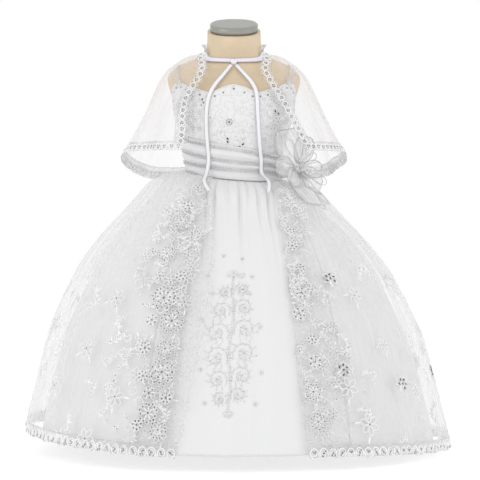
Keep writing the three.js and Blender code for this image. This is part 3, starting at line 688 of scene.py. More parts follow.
def sheer_material(name, colour, opacity, edge_opacity, through, stitched=0.0, scale=70.0, folds=20.0):
    """Thin cloth that light passes through, and that hides more where it is seen at a slant.

    Through is the share of light that crosses its threads, and stitched how far curling
    thread lines hide what lies behind them. Folds is how many denser streaks run down the
    cloth: partly real, where it doubles on itself, and partly painted light and shade of soft folds.
    """
    made = bpy.data.materials.new(name)
    made.use_nodes = True
    tree = made.node_tree
    tree.nodes.remove(tree.nodes["Principled BSDF"])
    where = object_coordinates(tree)
    slant = node(tree, "ShaderNodeLayerWeight", {"Blend": 0.5})
    stretch = {"Vector": cloth_coordinates(tree), "Scale": (folds, 0.8, 1)}
    stretch = node(tree, "ShaderNodeMapping", stretch)
    streaks = {"Vector": stretch.outputs[0], "Scale": 1.0, "Detail": 3.0}
    streaks = node(tree, "ShaderNodeTexNoise", streaks)
    # Denser and thinner streaks: partly cloth doubled on itself, partly painted light and shade of soft
    # folds.
    density_and_fold_shade = {0: streaks.outputs["Fac"], 1: 0.35, 2: 0.65, 3: 0.55, 4: 1.5}
    density_and_fold_shade = node(tree, "ShaderNodeMapRange", density_and_fold_shade)
    spread = {0: slant.outputs["Facing"], 1: 0.0, 2: 1.0, 3: opacity, 4: edge_opacity}
    spread = node(tree, "ShaderNodeMapRange", spread, interpolation_type="SMOOTHSTEP")
    both = {0: spread.outputs[0], 1: density_and_fold_shade.outputs[0]}
    hidden = node(tree, "ShaderNodeMath", both, operation="MULTIPLY", use_clamp=True).outputs[0]
    skin = {"Color": (*colour, 1)}
    if stitched:
        line = curling_lines(tree, where, scale, 7.0, 0.14)
        thread = {0: line, 1: stitched}
        thread = node(tree, "ShaderNodeMath", thread, operation="MULTIPLY").outputs[0]
        hidden = node(tree, "ShaderNodeMath", {0: hidden, 1: thread}, operation="MAXIMUM").outputs[0]
        bump = {"Height": line, "Strength": 0.8, "Distance": 0.0012}
        skin["Normal"] = node(tree, "ShaderNodeBump", bump).outputs["Normal"]
    cloth = node(tree, "ShaderNodeBsdfDiffuse", skin)
    glow = node(tree, "ShaderNodeBsdfTranslucent", {"Color": (*colour, 1)})
    mixed = node(tree, "ShaderNodeMixShader", {0: through, 1: cloth.outputs[0], 2: glow.outputs[0]})
    shine = node(tree, "ShaderNodeBsdfSheen", {"Color": (1, 1, 1, 1), "Roughness": 0.4})
    lit = node(tree, "ShaderNodeMixShader", {0: 0.12, 1: mixed.outputs[0], 2: shine.outputs[0]})
    clear = node(tree, "ShaderNodeBsdfTransparent", {"Color": (1, 1, 1, 1)})
    share = {0: hidden, 1: clear.outputs[0], 2: lit.outputs[0]}
    whole = node(tree, "ShaderNodeMixShader", share)
    tree.links.new(whole.outputs[0], tree.nodes["Material Output"].inputs["Surface"])
    return made


def glint_material(name, low, high, roughness, metallic=0.85):
    """Sequins, beads and stones, some darker than others."""
    made = material(name, high, roughness, Metallic=metallic)
    tinted(made, low, high, 420, 1)
    return made


def thread_material(name, low, high):
    """Matt thread that lets part of the light through to the cloth behind it."""
    made = bpy.data.materials.new(name)
    made.use_nodes = True
    tree = made.node_tree
    tree.nodes.remove(tree.nodes["Principled BSDF"])
    spots = {"Vector": object_coordinates(tree), "Scale": 300.0, "Detail": 2.0}
    noise = node(tree, "ShaderNodeTexNoise", spots).outputs["Fac"]
    shades = {0: noise, 6: (*low, 1), 7: (*high, 1)}
    colour = node(tree, "ShaderNodeMix", shades, data_type="RGBA").outputs[2]
    bump = node(tree, "ShaderNodeBump", {"Height": noise, "Strength": 0.3, "Distance": 0.0004})
    skin = node(tree, "ShaderNodeBsdfDiffuse", {"Color": colour, "Normal": bump.outputs["Normal"]})
    glow = node(tree, "ShaderNodeBsdfTranslucent", {"Color": colour})
    whole = node(tree, "ShaderNodeMixShader", {0: 0.16, 1: skin.outputs[0], 2: glow.outputs[0]})
    tree.links.new(whole.outputs[0], tree.nodes["Material Output"].inputs["Surface"])
    return made


# Building


def piece(name, bm, slot, made, replaces=()):
    """One object from a bmesh that was drawn in millimetres."""
    mesh = bpy.data.meshes.new(name)
    bm.to_mesh(mesh)
    bm.free()
    mesh.transform(Matrix.Scale(MILLIMETRE, 4))
    mesh.shade_smooth()
    mesh.materials.append(made)
    obj = bpy.data.objects.new(name, mesh)
    bpy.context.scene.collection.objects.link(obj)
    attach(obj, "root")
    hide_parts(*replaces)
    return obj


def dress_node(name, look):
    """Gives a node of the frame that keeps its own shape its finish."""
    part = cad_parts[name]
    part.data.materials.clear()
    part.data.materials.append(LOOKS[look])


def thicken(obj, thickness):
    """Gives a cloth its thickness in millimetres, inwards from its face."""
    shell = obj.modifiers.new("thickness", "SOLIDIFY")
    shell.thickness = thickness * MILLIMETRE
    shell.offset = -1
    return obj


def grid(place, columns, count, ring=False):
    """A bmesh grid on place(u, v), with u to the right and v down."""
    bm = bmesh.new()
    bmesh.ops.create_grid(bm, x_segments=columns, y_segments=count, size=1)
    shares = {vert: ((vert.co.x + 1) / 2, (1 - vert.co.y) / 2) for vert in bm.verts}
    layer = bm.loops.layers.uv.new("cloth")
    for face in bm.faces:
        for loop in face.loops:
            loop[layer].uv = shares[loop.vert]
    for vert, (u, v) in shares.items():
        vert.co = place(u, v)
    if ring:
        bmesh.ops.remove_doubles(bm, verts=bm.verts, dist=0.01)
    return bm


def strip_place(path, width):
    """A flat strip along a path of (point, normal) pairs, with v running along it."""

    def place(u, v):
        at = clamp(v) * (len(path) - 1)
        i = min(int(at), len(path) - 2)
        point = path[i][0].lerp(path[i + 1][0], at - i)
        normal = path[i][1].lerp(path[i + 1][1], at - i).normalized()
        side = (path[i + 1][0] - path[i][0]).cross(normal).normalized()
        return point + side * (width * (0.5 - u))

    return place


def tree_of(name):
    """The faces of a piece that is already there, in millimetres."""
    obj = bpy.data.objects.get(name)
    if obj is None:
        raise RuntimeError(f"{name} has to be built first")
    points = [vert.co / MILLIMETRE for vert in obj.data.vertices]
    return BVHTree.FromPolygons(points, [face.vertices[:] for face in obj.data.polygons])


def seen(tree, x, z):
    """Where the photograph's camera sees the cloth at x, z of the plane through the axis."""
    hit = tree.ray_cast(PHOTO_EYE, (Vector((x, 0, z)) - PHOTO_EYE).normalized())
    return (hit[0], hit[1]) if hit[0] is not None else (None, None)


def seen_round(tree, angle, z):
    """Where a level look at the axis from an angle meets the cloth."""
    away = Vector((math.sin(math.radians(angle)), -math.cos(math.radians(angle)), 0))
    hit = tree.ray_cast(away * 900 + Vector((0, 0, z)), -away)
    return (hit[0], hit[1]) if hit[0] is not None else (None, None)


def flat_at(spot, normal, turn=0.0, scale=1.0):
    """The matrix from a flat drawing to the cloth's tangent plane at a spot."""
    up = (Vector((0, 0, 1)) - normal * normal.z).normalized()
    across = up.cross(normal)
    turned_by = Matrix.Rotation(math.radians(turn), 4, "Z") @ Matrix.Scale(scale, 4)
    axes = Matrix((across, up, normal)).transposed().to_4x4()
    return Matrix.Translation(spot) @ axes @ turned_by


class Needlework:
    """Raised thread and sparkling parts, drawn flat first and then laid on a cloth."""

    def __init__(self):
        self.thread = bmesh.new()
        self.grey_lines_and_shade = bmesh.new()
        self.glints = bmesh.new()
        for bm in self.layers():
            bm.verts.layers.float.new("lift")

    def layers(self):
        return self.thread, self.grey_lines_and_shade, self.glints

    def line(self, points, width, height=0.8, shaded=False):
        """A raised thread along flat points; width is a number, or a share of the way to one."""
        # Shaded lines are grey thread beside or inside the white: partly petal edges, partly painted shade
        # where raised thread would cast it.
        bm = self.grey_lines_and_shade if shaded else self.thread
        lift = bm.verts.layers.float["lift"]
        last = len(points) - 1
        points = [Vector((x, y, 0)) for x, y in points]
        made = bmesh.ops.create_grid(bm, x_segments=last, y_segments=3, size=1)["verts"]
        for vert in made:
            i = round((vert.co.x + 1) / 2 * last)
            k = round((vert.co.y + 1) / 2 * 3)
            ahead = points[min(i + 1, last)] - points[max(i - 1, 0)]
            side = Vector((-ahead.y, ahead.x, 0)).normalized()
            half = width(i / last) / 2 if callable(width) else width / 2
            vert.co = points[i] + side * half * (-1, -0.5, 0.5, 1)[k]
            vert[lift] = 0.3 + (0, height, height, 0)[k]
        return self

    def leaf(self, x, y, turn, length, width, height=0.9):
        """A satin-stitch leaf that starts at x, y; turn 0 points up."""
        way = Vector((math.sin(math.radians(turn)), math.cos(math.radians(turn))))
        spine = [(x + way.x * length * s, y + way.y * length * s) for s in (0, 0.3, 0.65, 1)]
        return self.line(spine, lambda s: width * (0.3 + 2.2 * s * (1 - s) + 0.1 * (1 - s)), height)

    def ring(self, x, y, radius, width, height=0.8, squash=1.0, turn=0.0, steps=12, shaded=False):
        points = []
        for i in range(steps + 1):
            a = 2 * math.pi * i / steps
            px, py = radius * squash * math.cos(a), radius * math.sin(a)
            c, s = math.cos(math.radians(turn)), math.sin(math.radians(turn))
            points.append((x + px * c + py * s, y - px * s + py * c))
        return self.line(points, width, height, shaded)

    def sequin(self, x, y, radius, lift_by=1.0, sides=7):
        """A flat sequin that leans a little."""
        bm = self.glints
        lift = bm.verts.layers.float["lift"]
        at = Matrix.Translation((x, y, 0))
        made = bmesh.ops.create_circle(bm, cap_ends=True, segments=sides, radius=radius, matrix=at)
        lean = random.uniform(0, 6.28)
        for vert in made["verts"]:
            out = vert.co - at.translation
            vert[lift] = lift_by + 0.22 * (out.x * math.cos(lean) + out.y * math.sin(lean))
        return self

    def stone(self, x, y, turn, length, width, height=1.6):
        """A cut stone, pointed at both ends; turn 0 stands upright."""
        bm = self.glints
        lift = bm.verts.layers.float["lift"]
        made = bmesh.ops.create_uvsphere(bm, u_segments=8, v_segments=5, radius=1)["verts"]
        spin = Matrix.Rotation(-math.radians(turn), 2)
        for vert in made:
            pinch = max(0.0, 1 - abs(vert.co.y)) ** 0.35
            flat = Vector((vert.co.x * width / 2 * pinch, vert.co.y * length / 2))
            vert[lift] = 0.5 + height * (0.5 + 0.5 * vert.co.z)
            flat = spin @ flat
            vert.co = (x + flat.x, y + flat.y, 0)
        return self

    def bead(self, x, y, radius):
        bm = self.glints
        lift = bm.verts.layers.float["lift"]
        at = Matrix.Translation((x, y, 0))
        made = bmesh.ops.create_icosphere(bm, subdivisions=1, radius=radius, matrix=at)["verts"]
        for vert in made:
            vert[lift] = radius + 0.2 + vert.co.z
            vert.co.z = 0
        return self

    def drawing(self):
        """The finished drawing as two meshes, to be sewn on as often as is wanted."""
        meshes = []
        for bm in self.layers():
            mesh = bpy.data.meshes.new("drawing")
            bm.to_mesh(mesh)
            bm.free()
            meshes.append(mesh)
        return meshes

    def sew(self, drawing, matrix):
        for bm, mesh in zip(self.layers(), drawing):
            if mesh.vertices:
                copy = mesh.copy()
                copy.transform(matrix)
                bm.from_mesh(copy)
                bpy.data.meshes.remove(copy)

    def lay_on(self, tree):
        """Presses every part on to the cloth, each point at its own height off it."""
        for bm in self.layers():
            lift = bm.verts.layers.float["lift"]
            for vert in bm.verts:
                spot, normal, _, _ = tree.find_nearest(vert.co)
                vert.co = spot + normal * vert[lift]
        return self

    def pieces(self, name, thread="thread", glints="glints"):
        """Up to three joined pieces: white thread, grey thread that partly paints shade, and sequins."""
        kinds = (
            ("thread", self.thread, "lace", thread),
            ("grey_lines_and_shade", self.grey_lines_and_shade, "lace", "grey_lines_and_shade"),
            ("sequins", self.glints, "beads", glints),
        )
        for kind, bm, slot, look in kinds:
            if bm.verts:
                piece(f"{name}_{kind}", bm, slot, LOOKS[look])
            else:
                bm.free()


LOOKS = {}


def make_looks(colours):
    """The materials, one set for the whole gown."""
    LOOKS["linen"] = weave_material("linen", colours.linen)
    LOOKS["steel"] = material("neck_metal", colours.metal, 0.35, Metallic=0.9)
    LOOKS["stand"] = material("stand_metal", (0.5, 0.5, 0.5), 0.35, Metallic=1.0)
    LOOKS["satin"] = satin_material("satin", colours.satin)
    LOOKS["bodice"] = satin_material("bodice_satin", (0.8, 0.8, 0.805), stitched=True)
    LOOKS["ribbon"] = satin_material("ribbon", colours.ribbon, edge_shade_axis="Y")
    LOOKS["tail"] = satin_material("ribbon_tails", colours.tails, edge_shade_axis="X")
    LOOKS["knot"] = satin_material("ribbon_knot", (0.84, 0.825, 0.89))
    LOOKS["organza"] = sheer_material("organza", colours.organza, 0.07, 0.36, 0.4, 0.1, 30.0, 34.0)
    LOOKS["tulle"] = sheer_material("tulle", colours.tulle, 0.08, 0.28, 0.5, folds=24.0)
    LOOKS["petal"] = sheer_material("petal", (0.95, 0.95, 0.955), 0.2, 0.8, 0.3, folds=9.0)
    LOOKS["border"] = sheer_material("border_net", (0.98, 0.98, 0.983), 0.05, 0.3, 0.5, 0.3, 70.0, 3.0)
    LOOKS["net"] = sheer_material("net", (0.95, 0.95, 0.953), 0.22, 0.7, 0.3, 0.7, 150.0)
    LOOKS["thread"] = thread_material("thread", (0.92, 0.92, 0.923), (0.99, 0.99, 0.992))
    # Grey thread for the shaded lines, which partly paint the shade beside the white thread.
    LOOKS["grey_lines_and_shade"] = thread_material("shaded_thread", (0.66, 0.66, 0.665), (0.9, 0.9, 0.905))
    LOOKS["silver"] = glint_material("silver_thread", (0.66, 0.66, 0.67), (0.9, 0.9, 0.91), 0.4, 0.2)
    LOOKS["glints"] = glint_material("sequins", (0.05, 0.05, 0.05), (0.32, 0.32, 0.325), 0.3, 0.3)
    LOOKS["beads"] = glint_material("beads", (0.5, 0.5, 0.51), (0.95, 0.95, 0.96), 0.25, 0.3)
    LOOKS["studs"] = glint_material("studs", (0.35, 0.35, 0.36), (0.75, 0.75, 0.76), 0.3, 0.3)
    LOOKS["stones"] = glint_material("stones", (0.01, 0.01, 0.01), (0.16, 0.16, 0.17), 0.12)
    LOOKS["wire"] = material("petal_wire", (0.4, 0.4, 0.41), 0.5)


# The form


def build_form(sides):
    """The linen body with its sloping neck, its metal cap and the stand below it."""
    levels = 60

    def sloped(point, rise=0.0):
        point.z += ease(point.z, NECK_FOOT, NECK_TOP) * NECK_SLOPE * (point.y - 8) + rise
        return point

    def torso(u, v):
        return sloped(body_point(360 * u, lerp(TORSO_BOTTOM, NECK_TOP, 1 - v)))

    bm = grid(torso, sides, levels, ring=True)
    bmesh.ops.holes_fill(bm, edges=bm.edges, sides=0)
    bmesh.ops.recalc_face_normals(bm, faces=bm.faces)
    piece("linen_form", bm, "linen", LOOKS["linen"], ["form_torso"])

    steps = rows("rise size", (15, -12), (15, -8), (13, -5), (0.3, -5))

    def cap(u, v):
        row = steps[round(v * 3)]
        return sloped(body_point(360 * u, NECK_TOP, row["size"]), row["rise"])

    bm = grid(cap, sides, 3, ring=True)
    bmesh.ops.holes_fill(bm, edges=bm.edges, sides=0)
    bmesh.ops.recalc_face_normals(bm, faces=bm.faces)
    piece("neck_cap", bm, "steel", LOOKS["steel"], ["form_neck_cap"])
    dress_node("form_pole", "stand")
    dress_node("form_base", "stand")


# The bodice and the sash


def bodice_place(start, end):
    """The bodice between two angles, from its scalloped neckline down to the waist."""

    def place(u, v):
        angle = lerp(start, end, u)
        lift = 2.8 + 1.6 * (1 - ease(v, 0.15, 0.5))
        scallop = 2.2 * abs(math.sin(math.radians(angle * 9))) * (1 - ease(v, 0, 0.04))
        height = lerp(neckline(angle), waist_seam(angle) - 1.2, v) + scallop
        return body_point(angle, height, lift)

    return place


def build_bodice(settings):
    """The three bodice panels, the closing strip, the straps and all their lace."""
    parts = rows(
        "name start end columns cloth",
        ("bodice_front", -HALF_BODICE, HALF_BODICE, 120, (0.28, 0.15)),
        ("bodice_back_right", -90 - HALF_BODICE, HALF_BODICE - 180, 60, (0.15, 0.14)),
        ("bodice_back_left", 180 - HALF_BODICE, 90 + HALF_BODICE, 60, (0.15, 0.14)),
    )
    for row in parts:
        place = bodice_place(row["start"], row["end"])
        bm = grid(place, row["columns"], 36)
        name = row["name"].replace("bodice", "bodice_satin")
        obj = piece(name, bm, "lace", LOOKS["bodice"], [row["name"]])
        thicken(obj, 1.0)
    facing = body_normal(180, 620)
    heights = [lerp(CLOSING_TOP, CLOSING_BOTTOM, s / 8) for s in range(9)]
    closing = strip_place([(body_point(180, height, 7), facing) for height in heights], CLOSING_WIDTH)
    obj = piece("lapped_closing", grid(closing, 4, 16), "satin", LOOKS["satin"], ["back_placket"])
    thicken(obj, 0.8)
    build_straps()
    decorate_bodice(settings)


def build_straps():
    """Two lace straps over the shoulders, from the front edge of the bodice to the back."""
    route = rows(
        "share angle height lift",
        (0, 50, 682, 6.1),
        (0.14, 53, 694, 5.3),
        (0.28, 58, 706, 2.6),
        (0.42, 72, 719, 2.4),
        (0.52, 92, 724, 2.4),
        (0.62, 110, 719, 2.4),
        (0.76, 124, 704, 2.2),
        (0.88, 132, 682, 4.2),
        (1, 138, 654, 6.2),
    )
    for name, side in (("left", 1), ("right", -1)):
        path = []
        for i in range(41):
            share = i / 40 if side < 0 else 1 - i / 40
            angle = side * smooth(route, "share", share, "angle")
            height = smooth(route, "share", share, "height")
            normal = body_normal(angle, height)
            point = body_point(angle, height) + normal * smooth(route, "share", share, "lift")
            path.append((point, normal))
        strap = grid(strip_place(path, STRAP_WIDTH), 6, 60)
        obj = piece(f"lace_strap_{name}", strap, "ribbon", LOOKS["net"], [f"strap_{name}"])
        thicken(obj, 0.6)


def decorate_bodice(settings):
    """The cord along the neckline, sequins, curling thread and dark stones."""
    random.seed(settings.seed)
    tree = tree_of("bodice_satin_front")
    work = Needlework()
    # The corded top edge, and the sequins under it
    step = 1.5
    angles = [-88 + step * i for i in range(int(176 / step) + 1)]
    place = bodice_place(-HALF_BODICE, HALF_BODICE)
    edge = [place((a + HALF_BODICE) / (2 * HALF_BODICE), 0.006) for a in angles]
    cord = tube(edge, 0.9, 5)
    piece("neckline_cord", cord, "lace", LOOKS["thread"])
    sequin = Needlework().sequin(0, 0, 1.7).drawing()
    pair = Needlework().sequin(0, 0, 1.5).leaf(0, 1, 20, 7, 2).leaf(0, 1, -20, 7, 2).drawing()
    for a in range(-84, 85, 7):
        spot = place((a + HALF_BODICE) / (2 * HALF_BODICE), 0.055)
        at = tree.find_nearest(spot)
        work.sew(pair if a % 2 else sequin, flat_at(at[0], at[1], random.uniform(-30, 30)))
    # The flower of sequins in the middle
    spot, normal = seen(tree, -9, 618)
    flower = Needlework()
    for i in range(8):
        a = math.radians(45 * i + 12)
        flower.sequin(5.5 * math.sin(a), 5.5 * math.cos(a), 1.6)
        flower.leaf(3 * math.sin(a), 3 * math.cos(a), 45 * i + 12, 9, 3)
    flower.sequin(0, 0, 1.8)
    work.sew(flower.drawing(), flat_at(spot, normal))
    # Sprays over the chest and dense sequins at the sides
    spray = spray_drawing()
    sprays = rows(
        "x z turn scale",
        (-52, 628, 20, 0.8),
        (38, 624, -24, 0.8),
        (-30, 596, 60, 0.7),
        (16, 592, -60, 0.7),
    )
    for row in sprays:
        spot, normal = seen(tree, row["x"], row["z"])
        if spot:
            work.sew(spray, flat_at(spot, normal, row["turn"], row["scale"]))
    work.lay_on(tree).pieces("bodice_lace")
    sides = Needlework()
    blossoms = [small_blossom(radius) for radius in (10, 12)]
    bud = bud_drawing()
    for side in (-1, 1):
        for z in range(560, 676, 13):
            for column in range(3):
                x = side * (64 + 15 * column + 7 * (z % 2) + random.uniform(-4, 4)) - 3
                spot, normal = seen(tree, x, z + random.uniform(-4, 4))
                if spot:
                    drawing = bud if column == 0 else random.choice(blossoms)
                    turn = random.uniform(0, 60)
                    sides.sew(drawing, flat_at(spot, normal, turn, random.uniform(0.6, 0.9)))
    sides.lay_on(tree).pieces("bodice_sides", glints="studs")
    stones = Needlework()
    for x, z, turn, length in (
        (-12, 586.5, -35, 6),
        (-12, 580.5, -35, 6),
        (-32, 572, 130, 4.4),
        (-27, 569, 130, 3.4),
        (-11, 566.5, 150, 3.4),
        (4, 567, 60, 5.4),
        (10, 571, 60, 5.8),
        (17, 576, 50, 6),
        (78, 639, 150, 6),
        (84, 634, 150, 6),
        (-60, 661, 20, 5),
        (-58, 655, 160, 4.6),
        (-62, 650, 10, 3.4),
    ):
        spot, normal = seen(tree, x, z)
        if spot:
            stone = Needlework().stone(0, 0, turn, length, length * 0.52).drawing()
            stones.sew(stone, flat_at(spot, normal))
    stones.lay_on(tree).pieces("bodice_stones", glints="stones")


def tube(points, radius, sides, closed=False):
    """A round cord through points."""
    last = len(points) - 1

    def place(u, v):
        i = round(v * last)
        before, after = points[max(i - 1, 0)], points[min(i + 1, last)]
        if closed and i in (0, last):
            before, after = points[last - 1], points[1]
        way = (after - before).normalized()
        side = way.cross(Vector((0.13, -0.97, 0.2))).normalized()
        top = side.cross(way)
        turn = 2 * math.pi * u
        return points[i] + side * (radius * math.cos(turn)) + top * (radius * math.sin(turn))

    return grid(place, sides, last, ring=True)


def build_sash(settings):
    """The pleated sash and the three rows of beads on it."""

    def place(u, v):
        angle = lerp(-179.85, 179.85, u)
        return sash_point(angle, v, 0.5 * math.sin(u * 41) * math.sin(v * 9))

    obj = piece("pleated_sash", grid(place, 150, 44), "satin", LOOKS["satin"], ["waist_sash"])
    thicken(obj, 0.9)
    waist_length = 600
    for name in ("top", "middle", "bottom"):
        bm = bmesh.new()
        count = int(waist_length / settings.pitch)
        for line in (-1, 0, 1):
            for i in range(count):
                angle = lerp(-178.6, 178.6, (i + 0.5 * (line % 2)) / count)
                height = band_height(angle, name) + 2.3 * line
                radius = 1.3 if line else 0.9
                at = Matrix.Translation(body_point(angle, height, BEAD_FACE + radius))
                bmesh.ops.create_icosphere(bm, subdivisions=1, radius=radius, matrix=at)
        piece(f"band_beads_{name}", bm, "beads", LOOKS["beads"], [f"beaded_band_{name}"])


# Skirts


def build_satin(thickness):
    """The gathered front panel and the satin under the organza."""
    front = grid(satin_front_place, 200, 80)
    obj = piece("satin_front", front, "satin", LOOKS["satin"], ["satin_front_panel"])
    thicken(obj, thickness)
    for side, wearer in (("left", "right"), ("right", "left")):
        panel = grid(satin_side_place(side), 150, 56)
        obj = piece(f"satin_lining_{wearer}", panel, "satin", LOOKS["satin"], [f"satin_side_{wearer}"])
        thicken(obj, thickness)


def build_organza(thickness):
    """The two halves of the sheer skirt."""
    for side, wearer in (("left", "right"), ("right", "left")):
        panel = grid(overlay_place(side), 260, 72)
        name = f"organza_{wearer}"
        obj = piece(name, panel, "organza", LOOKS["organza"], [f"organza_skirt_{wearer}"])
        thicken(obj, thickness)


def hem_ring_drawing():
    """A ring in a ring with four short rays below and three sequins."""
    work = Needlework()
    work.ring(0, 0, 8.6, 2.2, 1.0, squash=0.82, steps=14)
    work.ring(0, 0.5, 4.6, 1.5, 0.8, squash=0.8, steps=10)
    for turn in (-50, -18, 18, 50):
        a = math.radians(turn + 180)
        work.leaf(8.6 * math.sin(a), 8.6 * math.cos(a), turn + 180, 4.4, 2.2)
    spots = [(-2.6, 3.4), (2.6, 3.4), (-2.4, -2.6), (2.4, -2.6), (0, 0.4)]
    for x, y in random.sample(spots, 3):
        work.sequin(x + random.uniform(-0.8, 0.8), y + random.uniform(-0.8, 0.8), 1.35, 1.4)
    return work.drawing()


def build_hem_lace(settings):
    """Scalloped net along the organza's hem with its ring motifs."""
    random.seed(settings.seed)
    for side, wearer in (("left", "right"), ("right", "left")):
        place = overlay_place(side)
        count = settings.motifs

        def lace(u, v):
            wave = 0.009 * abs(math.sin(math.pi * count * u)) ** 0.6
            return raised(place, 1.1)(clamp(u), lerp(0.966, 1.0025 + wave, v))

        name = f"lace_hem_{wearer}"
        obj = piece(name, grid(lace, count * 6, 6), "lace", LOOKS["net"], [f"hem_lace_{wearer}"])
        thicken(obj, 0.4)
        tree = tree_of(name)
        rings = [hem_ring_drawing() for _ in range(4)]
        work = Needlework()
        for i in range(count):
            spot, normal, _, _ = tree.find_nearest(lace((i + 0.5) / count, 0.52))
            size = random.uniform(0.9, 1.08)
            work.sew(random.choice(rings), flat_at(spot, normal, random.uniform(-14, 14), size))
        work.lay_on(tree).pieces(f"hem_rings_{wearer}")


def build_front_lace():
    """The net that backs the embroidered borders down the front edges."""
    for side, wearer in (("left", "right"), ("right", "left")):
        place = overlay_place(side)

        def lace(u, v):
            down = lerp(0.01, 0.962, v)
            radius = math.hypot(*skirt_point(overlay_edge(down, side), down, OVERLAY).xy)
            arc = math.radians(180 - abs(overlay_edge(down, side))) * radius
            scallop = abs(math.sin(math.pi * 13 * v)) ** 0.7
            front = (2 - 6 * scallop) / arc
            inner = (2.7 + 0.25 * math.sin(31 * v) + 0.15 * math.sin(71 * v)) / 36
            share = lerp(inner, front, u) if side == "left" else lerp(front, inner, u)
            return raised(place, 1.0)(1 - share if side == "left" else share, down)

        name = f"lace_border_{wearer}"
        obj = piece(name, grid(lace, 12, 130), "lace", LOOKS["border"], [f"front_lace_{wearer}"])
        thicken(obj, 0.15)


# Embroidery


def medallion(radius, petals, inner=True):
    """A round blossom: a loop of thread round each sequin, and stitched petals between."""
    work = Needlework()
    for i in range(petals):
        turn = 360 * i / petals + random.uniform(-6, 6)
        a = math.radians(turn)
        work.leaf(0.24 * radius * math.sin(a), 0.24 * radius * math.cos(a), turn, 0.5 * radius, 3.2)
        spots = [(0.92, a), (1.02, a + math.pi / petals)]
        if inner:
            spots += [(0.56, a + math.pi / petals)]
        for out, way in spots:
            x = out * radius * math.sin(way) + random.uniform(-0.6, 0.6)
            y = out * radius * math.cos(way) + random.uniform(-0.6, 0.6)
            work.sequin(x, y, 1.6, 1.3)
            work.ring(x, y, 2.7, 1.3, 1.0, steps=7)
    middle = 0.74 * radius
    # A grey ring round the middle, partly painted shade.
    work.ring(0, 0, middle, 0.5, 0.5, steps=16, shaded=True)
    work.ring(0, 0, 0.2 * radius, 1.3, steps=8)
    work.sequin(0, 0, 1.5 + 0.03 * radius, 1.3)
    return work.drawing()


def small_blossom(radius):
    """Sequins in a ring round one, each with its stitches and a loop."""
    work = Needlework()
    count = random.choice((6, 7, 7))
    for i in range(count):
        turn = 360 * i / count
        a = math.radians(turn)
        work.leaf(0.2 * radius * math.sin(a), 0.2 * radius * math.cos(a), turn, 0.9 * radius, 2.0)
        reach = 0.7 * radius
        x, y = reach * math.sin(a + 0.4), reach * math.cos(a + 0.4)
        work.sequin(x, y, 1.6, 1.3)
        work.ring(x, y, 2.7, 1.2, 1.0, steps=7)
    return work.sequin(0, 0, 1.7, 1.3).drawing()


def bud_drawing():
    """One sequin between two small leaves, with a curl beside it."""
    work = Needlework()
    work.leaf(0, 0, 35, 7, 2.4).leaf(0, 0, -50, 6, 2.2)
    curl = [(0.6 * i * math.sin(0.5 * i) - 1, 0.6 * i * math.cos(0.5 * i) - 3) for i in range(2, 12)]
    # The curl is grey thread, partly painted shade.
    work.line(curl, 0.7, 0.6, shaded=True)
    return work.ring(0, 0, 2.6, 1.1, 0.9, steps=7).sequin(0, 0, 1.5, 1.3).drawing()


def open_flower_drawing():
    """Six petal loops round one sequin, each with a grey line inside that is partly painted shade, and two
    leaves.
    """
    work = Needlework()
    for i in range(6):
        turn = 60 * i
        a = math.radians(turn)
        x, y = 8.6 * math.sin(a), 8.6 * math.cos(a)
        work.ring(x, y, 6.8, 1.2, 0.9, squash=0.62, turn=turn, steps=9)
        work.ring(x, y, 5.4, 0.6, 0.5, squash=0.5, turn=turn, steps=7, shaded=True)
    work.leaf(11, -11, 140, 11, 3.4).leaf(-12, -10, 215, 10, 3.2)
    work.ring(0, 0, 2.4, 1.1, steps=7)
    return work.sequin(0, 0, 1.4, 1.3).drawing()


def tendril_drawing():
    """A thin curling stitch line with a few buds."""
    work = Needlework()
    curl = [(0.9 * i * math.sin(0.42 * i), 0.9 * i * math.cos(0.42 * i)) for i in range(2, 16)]
    work.line(curl, 1.1, 0.7)
    # A grey line beside the curl: its painted shadow.
    work.line([(x + 1, y + 1) for x, y in curl], 0.5, 0.5, shaded=True)
    for i in (4, 7, 10, 13):
        x, y = curl[min(i, 13)]
        work.leaf(x, y, 40 * i, 5, 2)
    return work.drawing()


def spray_drawing():
    """A small curling branch with leaves."""
    work = Needlework()
    stem = [(15 * math.sin(0.36 * i) - 4, -26 + 5 * i - 0.18 * i * i) for i in range(11)]
    work.line(stem, 1.2, 0.7)
    # A grey line beside the stem: its painted shadow.
    work.line([(x + 1.2, y) for x, y in stem], 0.7, 0.5, shaded=True)
    for i in range(1, 10):
        x, y = stem[i]
        way = 1 if i % 2 else -1
        work.leaf(x, y, way * (58 - 2 * i), 9, 3.2, 0.7)
        if i % 3 == 1:
            work.sequin(x + 3 * way, y + 4, 1.3)
    x, y = stem[10]
    for turn in (-60, 0, 60):
        a = math.radians(turn)
        work.ring(x + 3.4 * math.sin(a), y + 3.4 * math.cos(a), 3, 1.1, squash=0.7, turn=turn, steps=7)
    return work.drawing()


def dark_flower_drawing():
    """An open flower whose petals are ringed in grey thread, partly painted shade, and hold pointed stones.
    """
    work = Needlework()
    for i in range(6):
        turn = 60 * i + 15
        a = math.radians(turn)
        for side in (-7, 7):
            work.leaf(3 * math.sin(a), 3 * math.cos(a), turn + side, 19, 2.6)
        work.ring(13 * math.sin(a), 13 * math.cos(a), 9, 0.8, squash=0.55, turn=turn, steps=10, shaded=True)
        if i != 4:
            work.stone(11 * math.sin(a), 11 * math.cos(a), turn + 8 * i, 8, 3.8, 2.2)
    return work.stone(1, 0, 40, 6, 3.4, 2.2).drawing()


